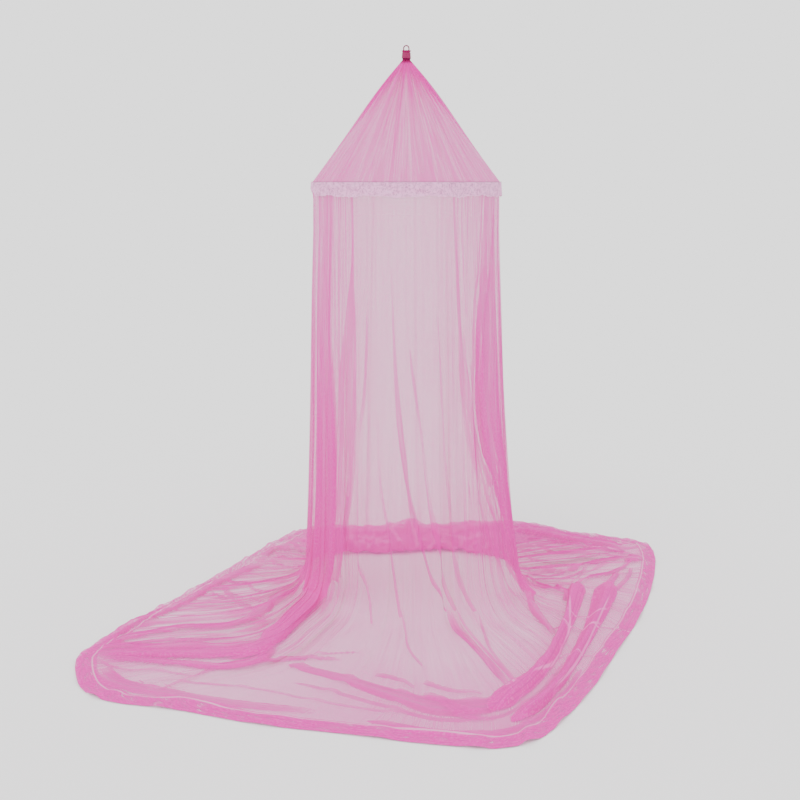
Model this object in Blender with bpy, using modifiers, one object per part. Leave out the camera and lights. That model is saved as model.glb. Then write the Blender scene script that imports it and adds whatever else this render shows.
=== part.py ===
"""Mosquito net canopy: a gathered cone over a hoop, and a long net wall that falls and spreads on the floor.

Metres, +Z up. The origin is where a hook bears in the hanging loop. The net lies below it, with the floor at
FLOOR_Z. Seen from the front (along +Y) the net is pulled out to three corners: left, front right and right.
"""

import math

import bmesh
import bpy
import numpy as np

# Driving sizes.
HOOP_RADIUS = 0.300  # the cloth's inner side at the hoop
HOOP_HEIGHT = 1.330  # above the floor
FLOOR_Z = -1.745
HOOP_Z = FLOOR_Z + HOOP_HEIGHT
CLOTH = 0.0015  # thickness of every sheet
GAP = 0.0003  # between pieces that touch
NIP = 0.0075  # how far the wall is drawn in behind the frill
NIP_DROPS = (0.0, 0.055, 0.40)  # below the hoop: where that starts, is deepest and ends

# The hoop, a round rod that lies in the corner of the cone and the wall.
ROD_RADIUS = 0.0035
ROD_CENTRE_RADIUS = HOOP_RADIUS - ROD_RADIUS - 2 * GAP
ROD_DROP = 0.0010  # the rod's centre below the seam

# The cone and its bound neck.
NECK_TOP_Z = -0.013
NECK_RADIUS = 0.0105  # inside
NECK_LENGTH = 0.028  # the straight, bound part
CONE_PLEATS = 18
CONE_PLEAT_HEIGHT = 0.011
CONE_PLEAT_RISE = 2.2  # the power that puts the deepest pleats near the neck
CONE_RUFFLE = 0.0012  # at the open top of the neck
BINDING_TOP_Z = NECK_TOP_Z - 0.005
BINDING_HEIGHT = 0.020
BINDING_THICKNESS = 0.0022

# The hanging loop, a cord whose ends go down into the neck.
LOOP_CORD_RADIUS = 0.002
LOOP_HALF_WIDTH = NECK_RADIUS - GAP - LOOP_CORD_RADIUS
LOOP_END_Z = NECK_TOP_Z - 0.022

# The lace frill that hangs outside the wall from the hoop.
FRILL_TOP_Z = HOOP_Z + 0.004
FRILL_HEIGHT = 0.054
FRILL_RADIUS = HOOP_RADIUS + CLOTH + GAP
FRILL_FLARE = 0.001
FRILL_WAVE = 0.003
FRILL_WAVES = 17
FRILL_SCALLOP = 0.0035

# How the wall hangs and spreads. Azimuths are in degrees round the hoop, 0 at +X (right), 90 at the back and
# 270 at the front. Each row is a rib down the cloth: azimuth; knee x, knee y, where the wall would meet the
# floor; swing, how late it leaves the vertical; bend, half the length of the rounded knee; turn x, turn y,
# where it turns on the floor; hem x, hem y.
STATIONS = (
    (0, 0.350, -0.030, 2.0, 0.09, 0.610, 0.020, 0.880, 0.050),
    (12, 0.340, 0.060, 2.5, 0.08, 0.620, 0.130, 0.912, 0.200),
    (24, 0.315, 0.115, 3.0, 0.07, 0.600, 0.200, 0.905, 0.305),
    (36, 0.275, 0.150, 4.0, 0.06, 0.520, 0.270, 0.800, 0.375),
    (48, 0.225, 0.180, 5.0, 0.05, 0.420, 0.320, 0.640, 0.440),
    (60, 0.165, 0.200, 6.0, 0.05, 0.320, 0.370, 0.480, 0.545),
    (75, 0.085, 0.195, 6.0, 0.05, 0.170, 0.360, 0.250, 0.530),
    (90, 0.000, 0.175, 6.0, 0.05, 0.010, 0.340, 0.020, 0.505),
    (105, -0.085, 0.165, 6.0, 0.05, -0.140, 0.330, -0.200, 0.490),
    (120, -0.165, 0.175, 6.0, 0.05, -0.280, 0.320, -0.390, 0.465),
    (135, -0.245, 0.160, 4.0, 0.06, -0.370, 0.240, -0.490, 0.335),
    (150, -0.300, 0.105, 3.0, 0.07, -0.450, 0.100, -0.590, 0.125),
    (165, -0.325, 0.020, 2.5, 0.08, -0.500, -0.080, -0.695, -0.090),
    (180, -0.330, -0.060, 2.2, 0.09, -0.500, -0.240, -0.795, -0.285),
    (193, -0.320, -0.110, 2.0, 0.10, -0.460, -0.380, -0.880, -0.450),
    (204, -0.300, -0.145, 2.0, 0.10, -0.425, -0.495, -0.935, -0.580),
    (214, -0.262, -0.180, 2.0, 0.10, -0.400, -0.550, -0.940, -0.650),
    (224, -0.225, -0.235, 2.0, 0.10, -0.370, -0.610, -0.890, -0.785),
    (234, -0.185, -0.290, 2.0, 0.11, -0.335, -0.660, -0.800, -0.865),
    (246, -0.130, -0.335, 2.0, 0.12, -0.270, -0.700, -0.600, -0.915),
    (258, -0.070, -0.360, 2.0, 0.12, -0.165, -0.755, -0.380, -0.985),
    (270, 0.000, -0.370, 2.0, 0.12, -0.040, -0.845, -0.140, -1.035),
    (281, 0.065, -0.370, 2.0, 0.12, 0.100, -0.925, 0.070, -1.080),
    (290, 0.120, -0.360, 2.0, 0.12, 0.240, -0.900, 0.220, -1.095),
    (298, 0.180, -0.345, 2.0, 0.12, 0.335, -0.790, 0.320, -1.055),
    (307, 0.250, -0.315, 2.0, 0.12, 0.413, -0.655, 0.405, -0.950),
    (317, 0.325, -0.265, 2.0, 0.12, 0.470, -0.505, 0.490, -0.820),
    (329, 0.365, -0.200, 2.0, 0.11, 0.532, -0.330, 0.590, -0.630),
    (344, 0.362, -0.115, 2.0, 0.10, 0.575, -0.130, 0.760, -0.290),
)
TURN = 0.11  # half the length over which a rib rounds its turn on the floor

# The main folds: azimuth, half width in degrees, height at the foot of the wall, height at the turn.
FOLDS = (
    (4, 3.2, 0.012, 0.022),
    (13, 3.6, 0.010, 0.030),
    (22, 3.2, 0.012, 0.020),
    (31, 3.4, 0.009, 0.026),
    (42, 4.0, 0.008, 0.016),
    (55, 4.5, 0.006, 0.012),
    (69, 4.5, 0.007, 0.010),
    (83, 4.0, 0.005, 0.014),
    (97, 4.5, 0.007, 0.010),
    (111, 4.2, 0.006, 0.012),
    (125, 4.2, 0.008, 0.016),
    (138, 3.8, 0.010, 0.020),
    (149, 3.4, 0.011, 0.016),
    (159, 3.4, 0.010, 0.022),
    (169, 3.2, 0.012, 0.016),
    (179, 3.4, 0.012, 0.024),
    (189, 3.0, 0.015, 0.020),
    (198, 3.0, 0.020, 0.032),
    (206, 2.8, 0.024, 0.036),
    (214, 2.8, 0.026, 0.034),
    (222, 2.8, 0.022, 0.026),
    (231, 3.0, 0.014, 0.020),
    (244, 3.2, 0.008, 0.010),
    (259, 3.2, 0.007, 0.012),
    (273, 3.0, 0.009, 0.010),
    (286, 3.2, 0.012, 0.010),
    (296, 3.0, 0.018, 0.010),
    (305, 3.0, 0.015, 0.010),
    (315, 3.0, 0.020, 0.012),
    (324, 2.8, 0.026, 0.014),
    (332, 2.8, 0.024, 0.012),
    (341, 3.0, 0.016, 0.012),
    (352, 3.4, 0.012, 0.018),
)

# Rolls of slack cloth on the floor, across the folds: first and last azimuth, place (1 at the knee, 1.5 at
# the turn, 2 at the hem), half width in metres, height.
ROLLS = (
    (238, 294, 1.50, 0.026, 0.014),
    (288, 350, 1.50, 0.034, 0.025),
    (292, 352, 1.71, 0.036, 0.027),
    (56, 132, 1.20, 0.045, 0.028),
    (62, 128, 1.72, 0.050, 0.022),
)
ROLL_FADE = 8.0  # degrees over which a roll starts and ends

FOLD_START_SLOPE = 0.05  # how fast folds may grow just under the hoop, so that they clear the frill
FOLD_GROWTH = 0.7  # the power by which they grow down the wall
FOLD_LOSS = 0.55  # the share of a fold that has run out at the hem
HEM_WIDTH = 0.08
HEM_RAISE = 0.0012
# The rows of the mesh: 0 at the hoop, 1 at the knee, 1.5 at the turn and 2 at the hem.
ROW_PLACES = (0.0, 0.04, 0.20, 0.42, 0.62, 0.80, 0.92, 1.0)
ROW_PLACES += (1.10, 1.20, 1.32, 1.42, 1.50, 1.57, 1.64, 1.71, 1.78, 1.85, 1.92, 2.0)
WINDOW = np.linspace(-1.0, 1.0, 13)  # where the path is sampled to round a knee
WIDEST_COLUMN = 6.0  # degrees
NARROWEST_COLUMN = 1.2

PINK = (0.86, 0.22, 0.52)
DEEP_PINK = (0.62, 0.03, 0.22)
LACE = (0.83, 0.68, 0.80)
WHITE_TAPE = (0.80, 0.70, 0.76)


def material(name, colour, roughness):
    made = bpy.data.materials.new(name)
    made.use_nodes = True
    shader = made.node_tree.nodes["Principled BSDF"]
    shader.inputs["Base Color"].default_value = (*colour, 1.0)
    shader.inputs["Roughness"].default_value = roughness
    return made


def station(azimuth):
    """The columns of STATIONS at any azimuth, on a smooth closed curve through the rows."""
    rows = np.array(STATIONS)
    places = np.concatenate([rows[-2:, 0] - 360.0, rows[:, 0], rows[:2, 0] + 360.0])
    values = np.concatenate([rows[-2:, 1:], rows[:, 1:], rows[:2, 1:]])
    slopes = np.gradient(values, places, axis=0)
    azimuth = np.mod(azimuth, 360.0)
    after = np.searchsorted(places, azimuth, side="right")
    step = (places[after] - places[after - 1])[:, None]
    t = (azimuth - places[after - 1])[:, None] / step
    return (
        values[after - 1] * (1 + 2 * t) * (1 - t) ** 2
        + slopes[after - 1] * step * t * (1 - t) ** 2
        + values[after] * t * t * (3 - 2 * t)
        - slopes[after] * step * t * t * (1 - t)
    )


def rib_corners(azimuth, columns):
    """The rib's corners in plan: at the hoop, at the knee, where it turns on the floor, and at the hem."""
    angle = np.radians(azimuth)
    top = HOOP_RADIUS * np.stack([np.cos(angle), np.sin(angle)], axis=1)
    return top, columns[:, 0:2], columns[:, 4:6], columns[:, 6:8]


def rib_lengths(azimuth, columns):
    """How long a rib is down the wall, from the knee to the turn, and from the turn to the hem."""
    top, knee, turn, hem = rib_corners(azimuth, columns)
    wall = np.hypot(np.linalg.norm(knee - top, axis=1), HOOP_HEIGHT)
    return wall, np.linalg.norm(turn - knee, axis=1), np.linalg.norm(hem - turn, axis=1)


def sharp_path(azimuth, columns, lengths, along):
    """Points at a distance along the ribs, before their corners are rounded, heights above the floor."""
    top, knee, turn, hem = rib_corners(azimuth, columns)
    wall, to_turn, to_hem = lengths
    down = np.clip(along / wall, 0.0, 1.0)
    nip = np.interp(down * HOOP_HEIGHT, NIP_DROPS, (0.0, NIP, 0.0))
    top = top * (1.0 - nip / HOOP_RADIUS)[:, None]
    first = np.clip((along - wall) / to_turn, 0.0, 1.0)[:, None]
    second = np.clip((along - wall - to_turn) / to_hem, 0.0, 1.0)[:, None]
    plan = top + (knee - top) * (down ** columns[:, 2])[:, None]
    plan = plan + (turn - knee) * first + (hem - turn) * second
    return np.column_stack([plan, HOOP_HEIGHT * (1.0 - down)])


def smooth_cloth(azimuth, place):
    """Points of the unfolded net, heights above the floor. Corners are rounded by averaging over a window."""
    columns = station(azimuth)
    lengths = rib_lengths(azimuth, columns)
    legs = (min(place, 1.0), np.clip(2 * place - 2, 0.0, 1.0), np.clip(2 * place - 3, 0.0, 1.0))
    along = sum(length * leg for length, leg in zip(lengths, legs))
    bend = columns[:, 3]
    window = bend + (TURN - bend) * bump(place - 1.5, 0.5)
    window = np.minimum(window, np.minimum(along, sum(lengths) - along))
    return np.mean([sharp_path(azimuth, columns, lengths, along + window * k) for k in WINDOW], axis=0)


def outward(azimuth, place):
    """Unit normals of the unfolded net: outward on the wall, up on the floor."""
    step, turn = 0.01, 0.5
    down = smooth_cloth(azimuth, min(place + step, 2.0)) - smooth_cloth(azimuth, max(place - step, 0.0))
    side = smooth_cloth(azimuth + turn, place) - smooth_cloth(azimuth - turn, place)
    normal = np.cross(down, side)
    return normal / np.linalg.norm(normal, axis=1)[:, None]


def bump(distance, half_width):
    """A smooth ridge of height 1 at distance 0, and flat past half_width."""
    share = np.clip(np.abs(distance) / half_width, 0.0, 1.0)
    return 0.5 + 0.5 * np.cos(math.pi * share)


def turn_between(a, b):
    return np.mod(a - b + 180.0, 360.0) - 180.0


def fold_height(azimuth, place):
    """How far the folds stand out of the smooth cloth."""
    down, over = min(place, 1.0), max(place - 1.0, 0.0)
    height = np.zeros(len(azimuth))
    for centre, half_width, at_foot, at_turn in FOLDS:
        if place < 1.0:
            tall = min(FOLD_START_SLOPE * down * HOOP_HEIGHT, at_foot * down**FOLD_GROWTH)
        else:
            tall = (at_foot + (at_turn - at_foot) * bump(over - 0.5, 0.5)) * (1.0 - FOLD_LOSS * over)
        height = np.maximum(height, tall * bump(turn_between(azimuth, centre), half_width))
    return height


def roll_height(azimuth, place):
    """The rolls of slack cloth that lie across the folds on the floor."""
    _, to_turn, to_hem = rib_lengths(azimuth, station(azimuth))
    height = np.zeros(len(azimuth))
    for first, last, middle, half_width, tall in ROLLS:
        reach = (last - first) / 2.0 - np.abs(turn_between(azimuth, (first + last) / 2.0))
        fade = np.clip(reach / ROLL_FADE, 0.0, 1.0)
        away = 2 * (place - middle) * (to_turn if middle < 1.5 else to_hem)
        height = np.maximum(height, tall * fade * bump(away, half_width))
    return height


def net_columns():
    """Azimuths of the mesh's columns: four for each fold, and more where the cloth between folds is wide."""
    wanted = sorted(
        (centre + half_width * k) % 360.0 for centre, half_width, _, _ in FOLDS for k in (-1, -0.5, 0, 0.5)
    )
    kept = [wanted[0]]
    for azimuth in wanted[1:]:
        if azimuth - kept[-1] >= NARROWEST_COLUMN:
            kept.append(azimuth)
    full = []
    for azimuth, following in zip(kept, [*kept[1:], kept[0] + 360.0]):
        parts = math.ceil((following - azimuth) / WIDEST_COLUMN)
        full += [azimuth + (following - azimuth) * k / parts for k in range(parts)]
    return np.array(full)


def net_rows(azimuth):
    """The net's rows from the hoop to the hem, each a closed ring of points on the cloth's inner side."""
    rows = []
    to_hem = rib_lengths(azimuth, station(azimuth))[2]
    for place in ROW_PLACES:
        points = smooth_cloth(azimuth, place)
        height = fold_height(azimuth, place)
        if place > 1.0:
            height = np.maximum(height, roll_height(azimuth, place))
            height = height + HEM_RAISE * (to_hem * (4.0 - 2 * place) < HEM_WIDTH)
        rows.append(points + outward(azimuth, place) * height[:, None])
    rows[0][:, 2] -= GAP  # clear of the cone's rim
    return rows


def ring_sheet(name, rows, finish):
    """A closed tube of cloth through rings of points, given thickness outward."""
    mesh = bpy.data.meshes.new(name)
    made = bmesh.new()
    rings = [[made.verts.new(point) for point in row] for row in rows]
    for upper, lower in zip(rings, rings[1:]):
        count = len(upper)
        for i in range(count):
            following = (i + 1) % count
            made.faces.new((upper[i], lower[i], lower[following], upper[following]))
    made.to_mesh(mesh)
    made.free()
    mesh.shade_smooth()
    piece = add(name, mesh, finish)
    thick = piece.modifiers.new("Thickness", "SOLIDIFY")
    thick.thickness = CLOTH
    thick.offset = 1.0
    return piece


def add(name, data, finish):
    piece = bpy.data.objects.new(name, data)
    data.materials.append(finish)
    bpy.data.collections["mosquito_net_canopy"].objects.link(piece)
    return piece


def build_net_wall():
    rows = net_rows(net_columns())
    for row in rows:
        row[:, 2] += FLOOR_Z
    ring_sheet("net_wall", rows, material("net", PINK, 0.8))


def build_net_cone():
    """The cone from the hoop up to the neck, with pleats that fade towards the hoop."""
    angle = np.linspace(0.0, 2 * math.pi, CONE_PLEATS * 4, endpoint=False)
    neck_foot = NECK_TOP_Z - NECK_LENGTH
    rows = []
    for share in (0.0, 0.22, 0.44, 0.64, 0.80, 0.92, 1.0):
        radius = HOOP_RADIUS + (NECK_RADIUS - HOOP_RADIUS) * share
        tall = CONE_PLEAT_HEIGHT * math.sin(math.pi * share**CONE_PLEAT_RISE)
        pleat = tall * np.cos(CONE_PLEATS * angle).clip(0)
        height = HOOP_Z + (neck_foot - HOOP_Z) * share
        rows.append((radius + pleat, height))
    rows.append((np.full(len(angle), NECK_RADIUS), BINDING_TOP_Z))
    ruffle = CONE_RUFFLE * np.cos(CONE_PLEATS * angle)
    rows.append((NECK_RADIUS + CLOTH + ruffle, NECK_TOP_Z))
    rings = [
        np.column_stack([radius * np.cos(angle), radius * np.sin(angle), np.full(len(angle), height)])
        for radius, height in reversed(rows)
    ]
    ring_sheet("net_cone", rings, material("net_top", PINK, 0.8))


def build_hoop():
    bpy.ops.mesh.primitive_torus_add(
        major_radius=ROD_CENTRE_RADIUS,
        minor_radius=ROD_RADIUS,
        major_segments=60,
        minor_segments=8,
        location=(0.0, 0.0, HOOP_Z - ROD_DROP),
    )
    hoop = bpy.context.object
    hoop.name = hoop.data.name = "hoop"
    hoop.data.shade_smooth()
    hoop.data.materials.append(material("hoop_rod", WHITE_TAPE, 0.5))
    bpy.context.collection.objects.unlink(hoop)
    bpy.data.collections["mosquito_net_canopy"].objects.link(hoop)


def build_lace_frill():
    """The frill flares a little, waves, and ends in a shallow scalloped edge."""
    angle = np.linspace(0.0, 2 * math.pi, FRILL_WAVES * 6, endpoint=False)
    wave = FRILL_WAVE * (0.5 + 0.5 * np.cos(FRILL_WAVES * angle)) * (0.7 + 0.3 * np.sin(3 * angle + 1.0))
    rows = []
    for share in (0.0, 0.35, 1.0):
        radius = FRILL_RADIUS + FRILL_FLARE * share**1.2 + wave * share
        drop = FRILL_HEIGHT * share + FRILL_SCALLOP * share * np.abs(np.sin(FRILL_WAVES * angle))
        rows.append(np.column_stack([radius * np.cos(angle), radius * np.sin(angle), FRILL_TOP_Z - drop]))
    ring_sheet("lace_frill", rows, material("lace", LACE, 0.7))


def build_neck_binding():
    """A band of tape wound round the neck: a turned section with rounded corners."""
    inner = NECK_RADIUS + CLOTH + GAP
    outer = inner + BINDING_THICKNESS
    top, foot, corner = BINDING_TOP_Z, BINDING_TOP_Z - BINDING_HEIGHT, 0.0006
    section = (
        (outer - corner, top),
        (outer, top - corner),
        (outer, foot + corner),
        (outer - corner, foot),
        (inner, foot),
        (inner, top),
    )
    mesh = bpy.data.meshes.new("neck_binding")
    made = bmesh.new()
    points = [made.verts.new((radius, 0.0, height)) for radius, height in section]
    for i, point in enumerate(points):
        made.edges.new((point, points[(i + 1) % len(points)]))
    made.to_mesh(mesh)
    made.free()
    binding = add("neck_binding", mesh, material("binding", DEEP_PINK, 0.7))
    turn = binding.modifiers.new("Turn", "SCREW")
    turn.steps = turn.render_steps = 48
    turn.use_merge_vertices = True
    turn.merge_threshold = 0.00001


def build_hanging_loop():
    """A cord that rises from one side of the neck, rounds over the hook and goes down the other side."""
    curve = bpy.data.curves.new("hanging_loop", "CURVE")
    curve.dimensions = "3D"
    curve.bevel_depth = LOOP_CORD_RADIUS
    curve.bevel_resolution = 2
    curve.use_fill_caps = True
    arc_z = LOOP_CORD_RADIUS - LOOP_HALF_WIDTH  # the arc's centre, so that its inner top is the origin
    arc = [
        (LOOP_HALF_WIDTH * math.cos(angle), 0.0, arc_z + LOOP_HALF_WIDTH * math.sin(angle))
        for angle in np.linspace(0.0, math.pi, 15)
    ]
    route = [(LOOP_HALF_WIDTH, 0.0, LOOP_END_Z), *arc, (-LOOP_HALF_WIDTH, 0.0, LOOP_END_Z)]
    spline = curve.splines.new("POLY")
    spline.points.add(len(route) - 1)
    for point, place in zip(spline.points, route):
        point.co = (*place, 1.0)
    add("hanging_loop", curve, material("cord", DEEP_PINK, 0.7))


def main():
    for old in list(bpy.data.objects):
        bpy.data.objects.remove(old)
    collection = bpy.data.collections.new("mosquito_net_canopy")
    bpy.context.scene.collection.children.link(collection)
    build_net_wall()
    build_net_cone()
    build_hoop()
    build_lace_frill()
    build_neck_binding()
    build_hanging_loop()


main()
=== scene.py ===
"""A sheer pink mosquito net canopy: cone, hoop, lace frill, and a long net that lies spread on the floor."""

import math

import bpy
import numpy as np
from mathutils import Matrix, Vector


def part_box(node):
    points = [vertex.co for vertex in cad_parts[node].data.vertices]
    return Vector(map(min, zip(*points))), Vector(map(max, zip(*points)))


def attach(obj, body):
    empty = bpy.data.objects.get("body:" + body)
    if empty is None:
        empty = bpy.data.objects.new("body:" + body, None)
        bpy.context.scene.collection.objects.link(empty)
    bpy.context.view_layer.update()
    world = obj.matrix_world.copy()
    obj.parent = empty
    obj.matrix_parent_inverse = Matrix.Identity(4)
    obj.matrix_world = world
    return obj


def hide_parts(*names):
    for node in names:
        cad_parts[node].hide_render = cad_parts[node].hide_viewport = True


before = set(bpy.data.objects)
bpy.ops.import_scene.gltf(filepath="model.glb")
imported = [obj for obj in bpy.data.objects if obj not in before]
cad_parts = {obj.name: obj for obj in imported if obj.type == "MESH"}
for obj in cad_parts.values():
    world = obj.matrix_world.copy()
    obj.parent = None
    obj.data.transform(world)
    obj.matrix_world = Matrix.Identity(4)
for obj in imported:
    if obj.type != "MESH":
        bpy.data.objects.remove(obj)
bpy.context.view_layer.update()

# Sizes and places, in metres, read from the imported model.
FLOOR_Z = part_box("net_wall")[0].z
SEAM_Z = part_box("net_cone")[0].z  # where the cone, the wall and the hoop meet
HOOP_HEIGHT = SEAM_Z - FLOOR_Z
NECK_TOP_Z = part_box("net_cone")[1].z
HOOP_RADIUS = 0.3007  # the middle of the cloth's thickness at the hoop
CLOTH_LIFT = 0.0008  # the sheet lies this far off the floor

# How the wall hangs and spreads. Azimuths are in degrees round the hoop, 0 at +X (right), 90 at the back and
# 270 at the front. Each row is a rib down the cloth: azimuth; knee x, knee y, where the wall would meet the
# floor; swing, how late it leaves the vertical; bend, half the length of the rounded knee; turn x, turn y,
# where it turns on the floor; hem x, hem y.
STATIONS = (
    (0, 0.350, -0.030, 2.0, 0.09, 0.610, 0.020, 0.880, 0.050),
    (12, 0.340, 0.060, 2.5, 0.08, 0.620, 0.130, 0.912, 0.200),
    (24, 0.315, 0.115, 3.0, 0.07, 0.600, 0.200, 0.905, 0.305),
    (36, 0.275, 0.150, 4.0, 0.06, 0.520, 0.270, 0.800, 0.375),
    (48, 0.225, 0.180, 5.0, 0.05, 0.420, 0.320, 0.640, 0.440),
    (60, 0.165, 0.200, 6.0, 0.05, 0.320, 0.370, 0.480, 0.545),
    (75, 0.085, 0.195, 6.0, 0.05, 0.170, 0.360, 0.250, 0.530),
    (90, 0.000, 0.175, 6.0, 0.05, 0.010, 0.340, 0.020, 0.505),
    (105, -0.085, 0.165, 6.0, 0.05, -0.140, 0.330, -0.200, 0.490),
    (120, -0.165, 0.175, 6.0, 0.05, -0.280, 0.320, -0.390, 0.465),
    (135, -0.245, 0.160, 4.0, 0.06, -0.370, 0.240, -0.490, 0.335),
    (150, -0.300, 0.105, 3.0, 0.07, -0.450, 0.100, -0.590, 0.125),
    (165, -0.325, 0.020, 2.5, 0.08, -0.500, -0.080, -0.695, -0.090),
    (180, -0.330, -0.060, 2.2, 0.09, -0.500, -0.240, -0.795, -0.285),
    (193, -0.320, -0.110, 2.0, 0.10, -0.460, -0.380, -0.880, -0.450),
    (204, -0.300, -0.145, 2.0, 0.10, -0.425, -0.495, -0.935, -0.580),
    (214, -0.262, -0.180, 2.0, 0.10, -0.400, -0.550, -0.940, -0.650),
    (224, -0.225, -0.235, 2.0, 0.10, -0.370, -0.610, -0.890, -0.785),
    (234, -0.185, -0.290, 2.0, 0.11, -0.335, -0.660, -0.800, -0.865),
    (246, -0.130, -0.335, 2.0, 0.12, -0.270, -0.700, -0.600, -0.915),
    (258, -0.070, -0.360, 2.0, 0.12, -0.165, -0.755, -0.380, -0.985),
    (270, 0.000, -0.370, 2.0, 0.12, -0.040, -0.845, -0.140, -1.035),
    (281, 0.065, -0.370, 2.0, 0.12, 0.100, -0.925, 0.070, -1.080),
    (290, 0.120, -0.360, 2.0, 0.12, 0.240, -0.900, 0.220, -1.095),
    (298, 0.180, -0.345, 2.0, 0.12, 0.335, -0.790, 0.320, -1.055),
    (307, 0.250, -0.315, 2.0, 0.12, 0.413, -0.655, 0.405, -0.950),
    (317, 0.325, -0.265, 2.0, 0.12, 0.470, -0.505, 0.490, -0.820),
    (329, 0.365, -0.200, 2.0, 0.11, 0.532, -0.330, 0.590, -0.630),
    (344, 0.362, -0.115, 2.0, 0.10, 0.575, -0.130, 0.760, -0.290),
)
TURN = 0.11  # half the length over which a rib rounds its turn on the floor
NIP = 0.0075  # how far the wall is drawn in behind the frill
NIP_DROPS = (0.0, 0.055, 0.40)  # below the hoop: where that starts, is deepest and ends

# A place on a rib is 0 at the hoop, 1 at the knee, 1.5 at the turn and 2 at the hem.

# The main folds: azimuth, half width in degrees, height at the foot of the wall, height at the turn, and
# lean, how far a fold is pushed over to the side for each metre of its height.
FOLDS = (
    (4, 3.2, 0.012, 0.022, 0.8),
    (13, 3.6, 0.010, 0.030, -1.2),
    (22, 3.2, 0.012, 0.020, 0.9),
    (31, 3.4, 0.009, 0.026, -1.0),
    (42, 4.0, 0.008, 0.016, 1.0),
    (55, 4.5, 0.006, 0.012, 1.2),
    (69, 4.5, 0.007, 0.010, -1.0),
    (83, 4.0, 0.005, 0.014, 0.8),
    (97, 4.5, 0.007, 0.010, -0.9),
    (111, 4.2, 0.006, 0.012, 1.0),
    (125, 4.2, 0.008, 0.016, -1.1),
    (138, 3.8, 0.010, 0.020, 1.0),
    (149, 3.4, 0.011, 0.016, -1.1),
    (159, 3.4, 0.010, 0.022, 0.9),
    (169, 3.2, 0.012, 0.016, -1.2),
    (179, 3.4, 0.012, 0.024, 1.1),
    (189, 3.0, 0.015, 0.020, -1.0),
    (198, 3.2, 0.011, 0.019, 0.4),
    (206, 4.0, 0.010, 0.018, -0.3),
    (214, 4.4, 0.010, 0.018, 0.3),
    (222, 4.2, 0.009, 0.015, -0.3),
    (231, 3.0, 0.014, 0.020, 1.0),
    (244, 3.2, 0.008, 0.010, -1.0),
    (259, 3.2, 0.007, 0.012, 1.0),
    (273, 3.0, 0.009, 0.010, -0.9),
    (286, 3.2, 0.012, 0.010, 1.0),
    (296, 3.0, 0.018, 0.010, -1.0),
    (305, 3.0, 0.015, 0.010, 0.9),
    (315, 3.8, 0.010, 0.012, -0.3),
    (324, 4.2, 0.011, 0.014, 0.3),
    (332, 4.0, 0.010, 0.012, -0.3),
    (341, 3.0, 0.016, 0.012, 1.0),
    (352, 3.4, 0.012, 0.018, -1.0),
)
FOLD_START_SLOPE = 0.05  # how fast folds may grow just under the hoop, so that they clear the frill
FOLD_GROWTH = 0.7  # the power by which they grow down the wall
FOLD_LOSS = 0.55  # the share of a fold that has run out at the hem

# Rolls of slack cloth on the floor, across the folds: first and last azimuth, place, half width in metres,
# height, lean towards the hem, extra layers.
ROLLS = (
    (238, 294, 1.50, 0.024, 0.014, 0.5, 1.8),
    (288, 350, 1.50, 0.040, 0.025, -0.5, 5.6),
    (292, 352, 1.70, 0.048, 0.027, 0.4, 5.8),
    (270, 318, 1.82, 0.018, 0.010, 0.0, 1.8),
    (250, 312, 1.62, 0.010, 0.006, 0.0, 1.4),
    (56, 132, 1.20, 0.050, 0.018, 0.4, 0.3),
    (62, 128, 1.72, 0.050, 0.022, -0.6, 0.2),
    (-100, 280, 1.990, 0.006, 0.001, 0.0, 2.2),
)
ROLL_FADE = 5.0  # degrees over which a roll starts and ends
ROLL_REACH = 0.12  # how far from its middle a roll is known to the material
ROLL_LAID = 0.8  # the share of its half width that shows as dense

# How densely the net is gathered round the hoop: azimuth; extra layers on the wall, on the inner floor and on
# the outer floor; how streaked it is in the same three; how crumpled it is on the floor.
REGIONS = (
    (0, 0.1, 0.2, 0.1, 0.4, 0.7, 0.4, 0.0),
    (20, 0.1, 0.2, 0.3, 0.4, 0.8, 0.7, 0.0),
    (40, 0.1, 0.7, 0.9, 0.3, 1.0, 0.8, 0.0),
    (60, 0.0, 2.4, 2.4, 0.2, 0.9, 0.9, 0.6),
    (90, -0.2, 2.8, 2.4, 0.12, 1.0, 1.0, 1.0),
    (120, 0.0, 2.2, 2.0, 0.2, 0.9, 0.9, 1.0),
    (140, 0.1, 0.6, 0.5, 0.3, 1.0, 1.0, 0.3),
    (160, 0.1, 0.4, 0.3, 0.4, 1.0, 1.0, 0.1),
    (180, 0.0, 0.4, 0.3, 0.4, 1.0, 1.0, 0.0),
    (200, 0.1, 0.4, 0.3, 0.5, 1.0, 0.9, 0.0),
    (215, 0.3, 0.4, 0.3, 0.6, 0.7, 0.5, 0.0),
    (230, 0.2, 0.1, 0.1, 0.5, 0.4, 0.2, 0.0),
    (245, 0.0, 0.0, 0.1, 0.16, 0.18, 0.06, 0.0),
    (270, 0.0, 0.0, 0.5, 0.12, 0.13, 0.06, 0.0),
    (290, 0.0, 0.0, 0.7, 0.16, 0.15, 0.08, 0.0),
    (305, 0.1, 0.0, 0.7, 0.4, 0.3, 0.1, 0.2),
    (320, 0.2, 0.1, 0.4, 0.5, 0.5, 0.1, 0.2),
    (340, 0.2, 0.2, 0.3, 0.5, 0.9, 0.2, 0.2),
)

MILLIMETRES = 1000.0  # in a metre

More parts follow.
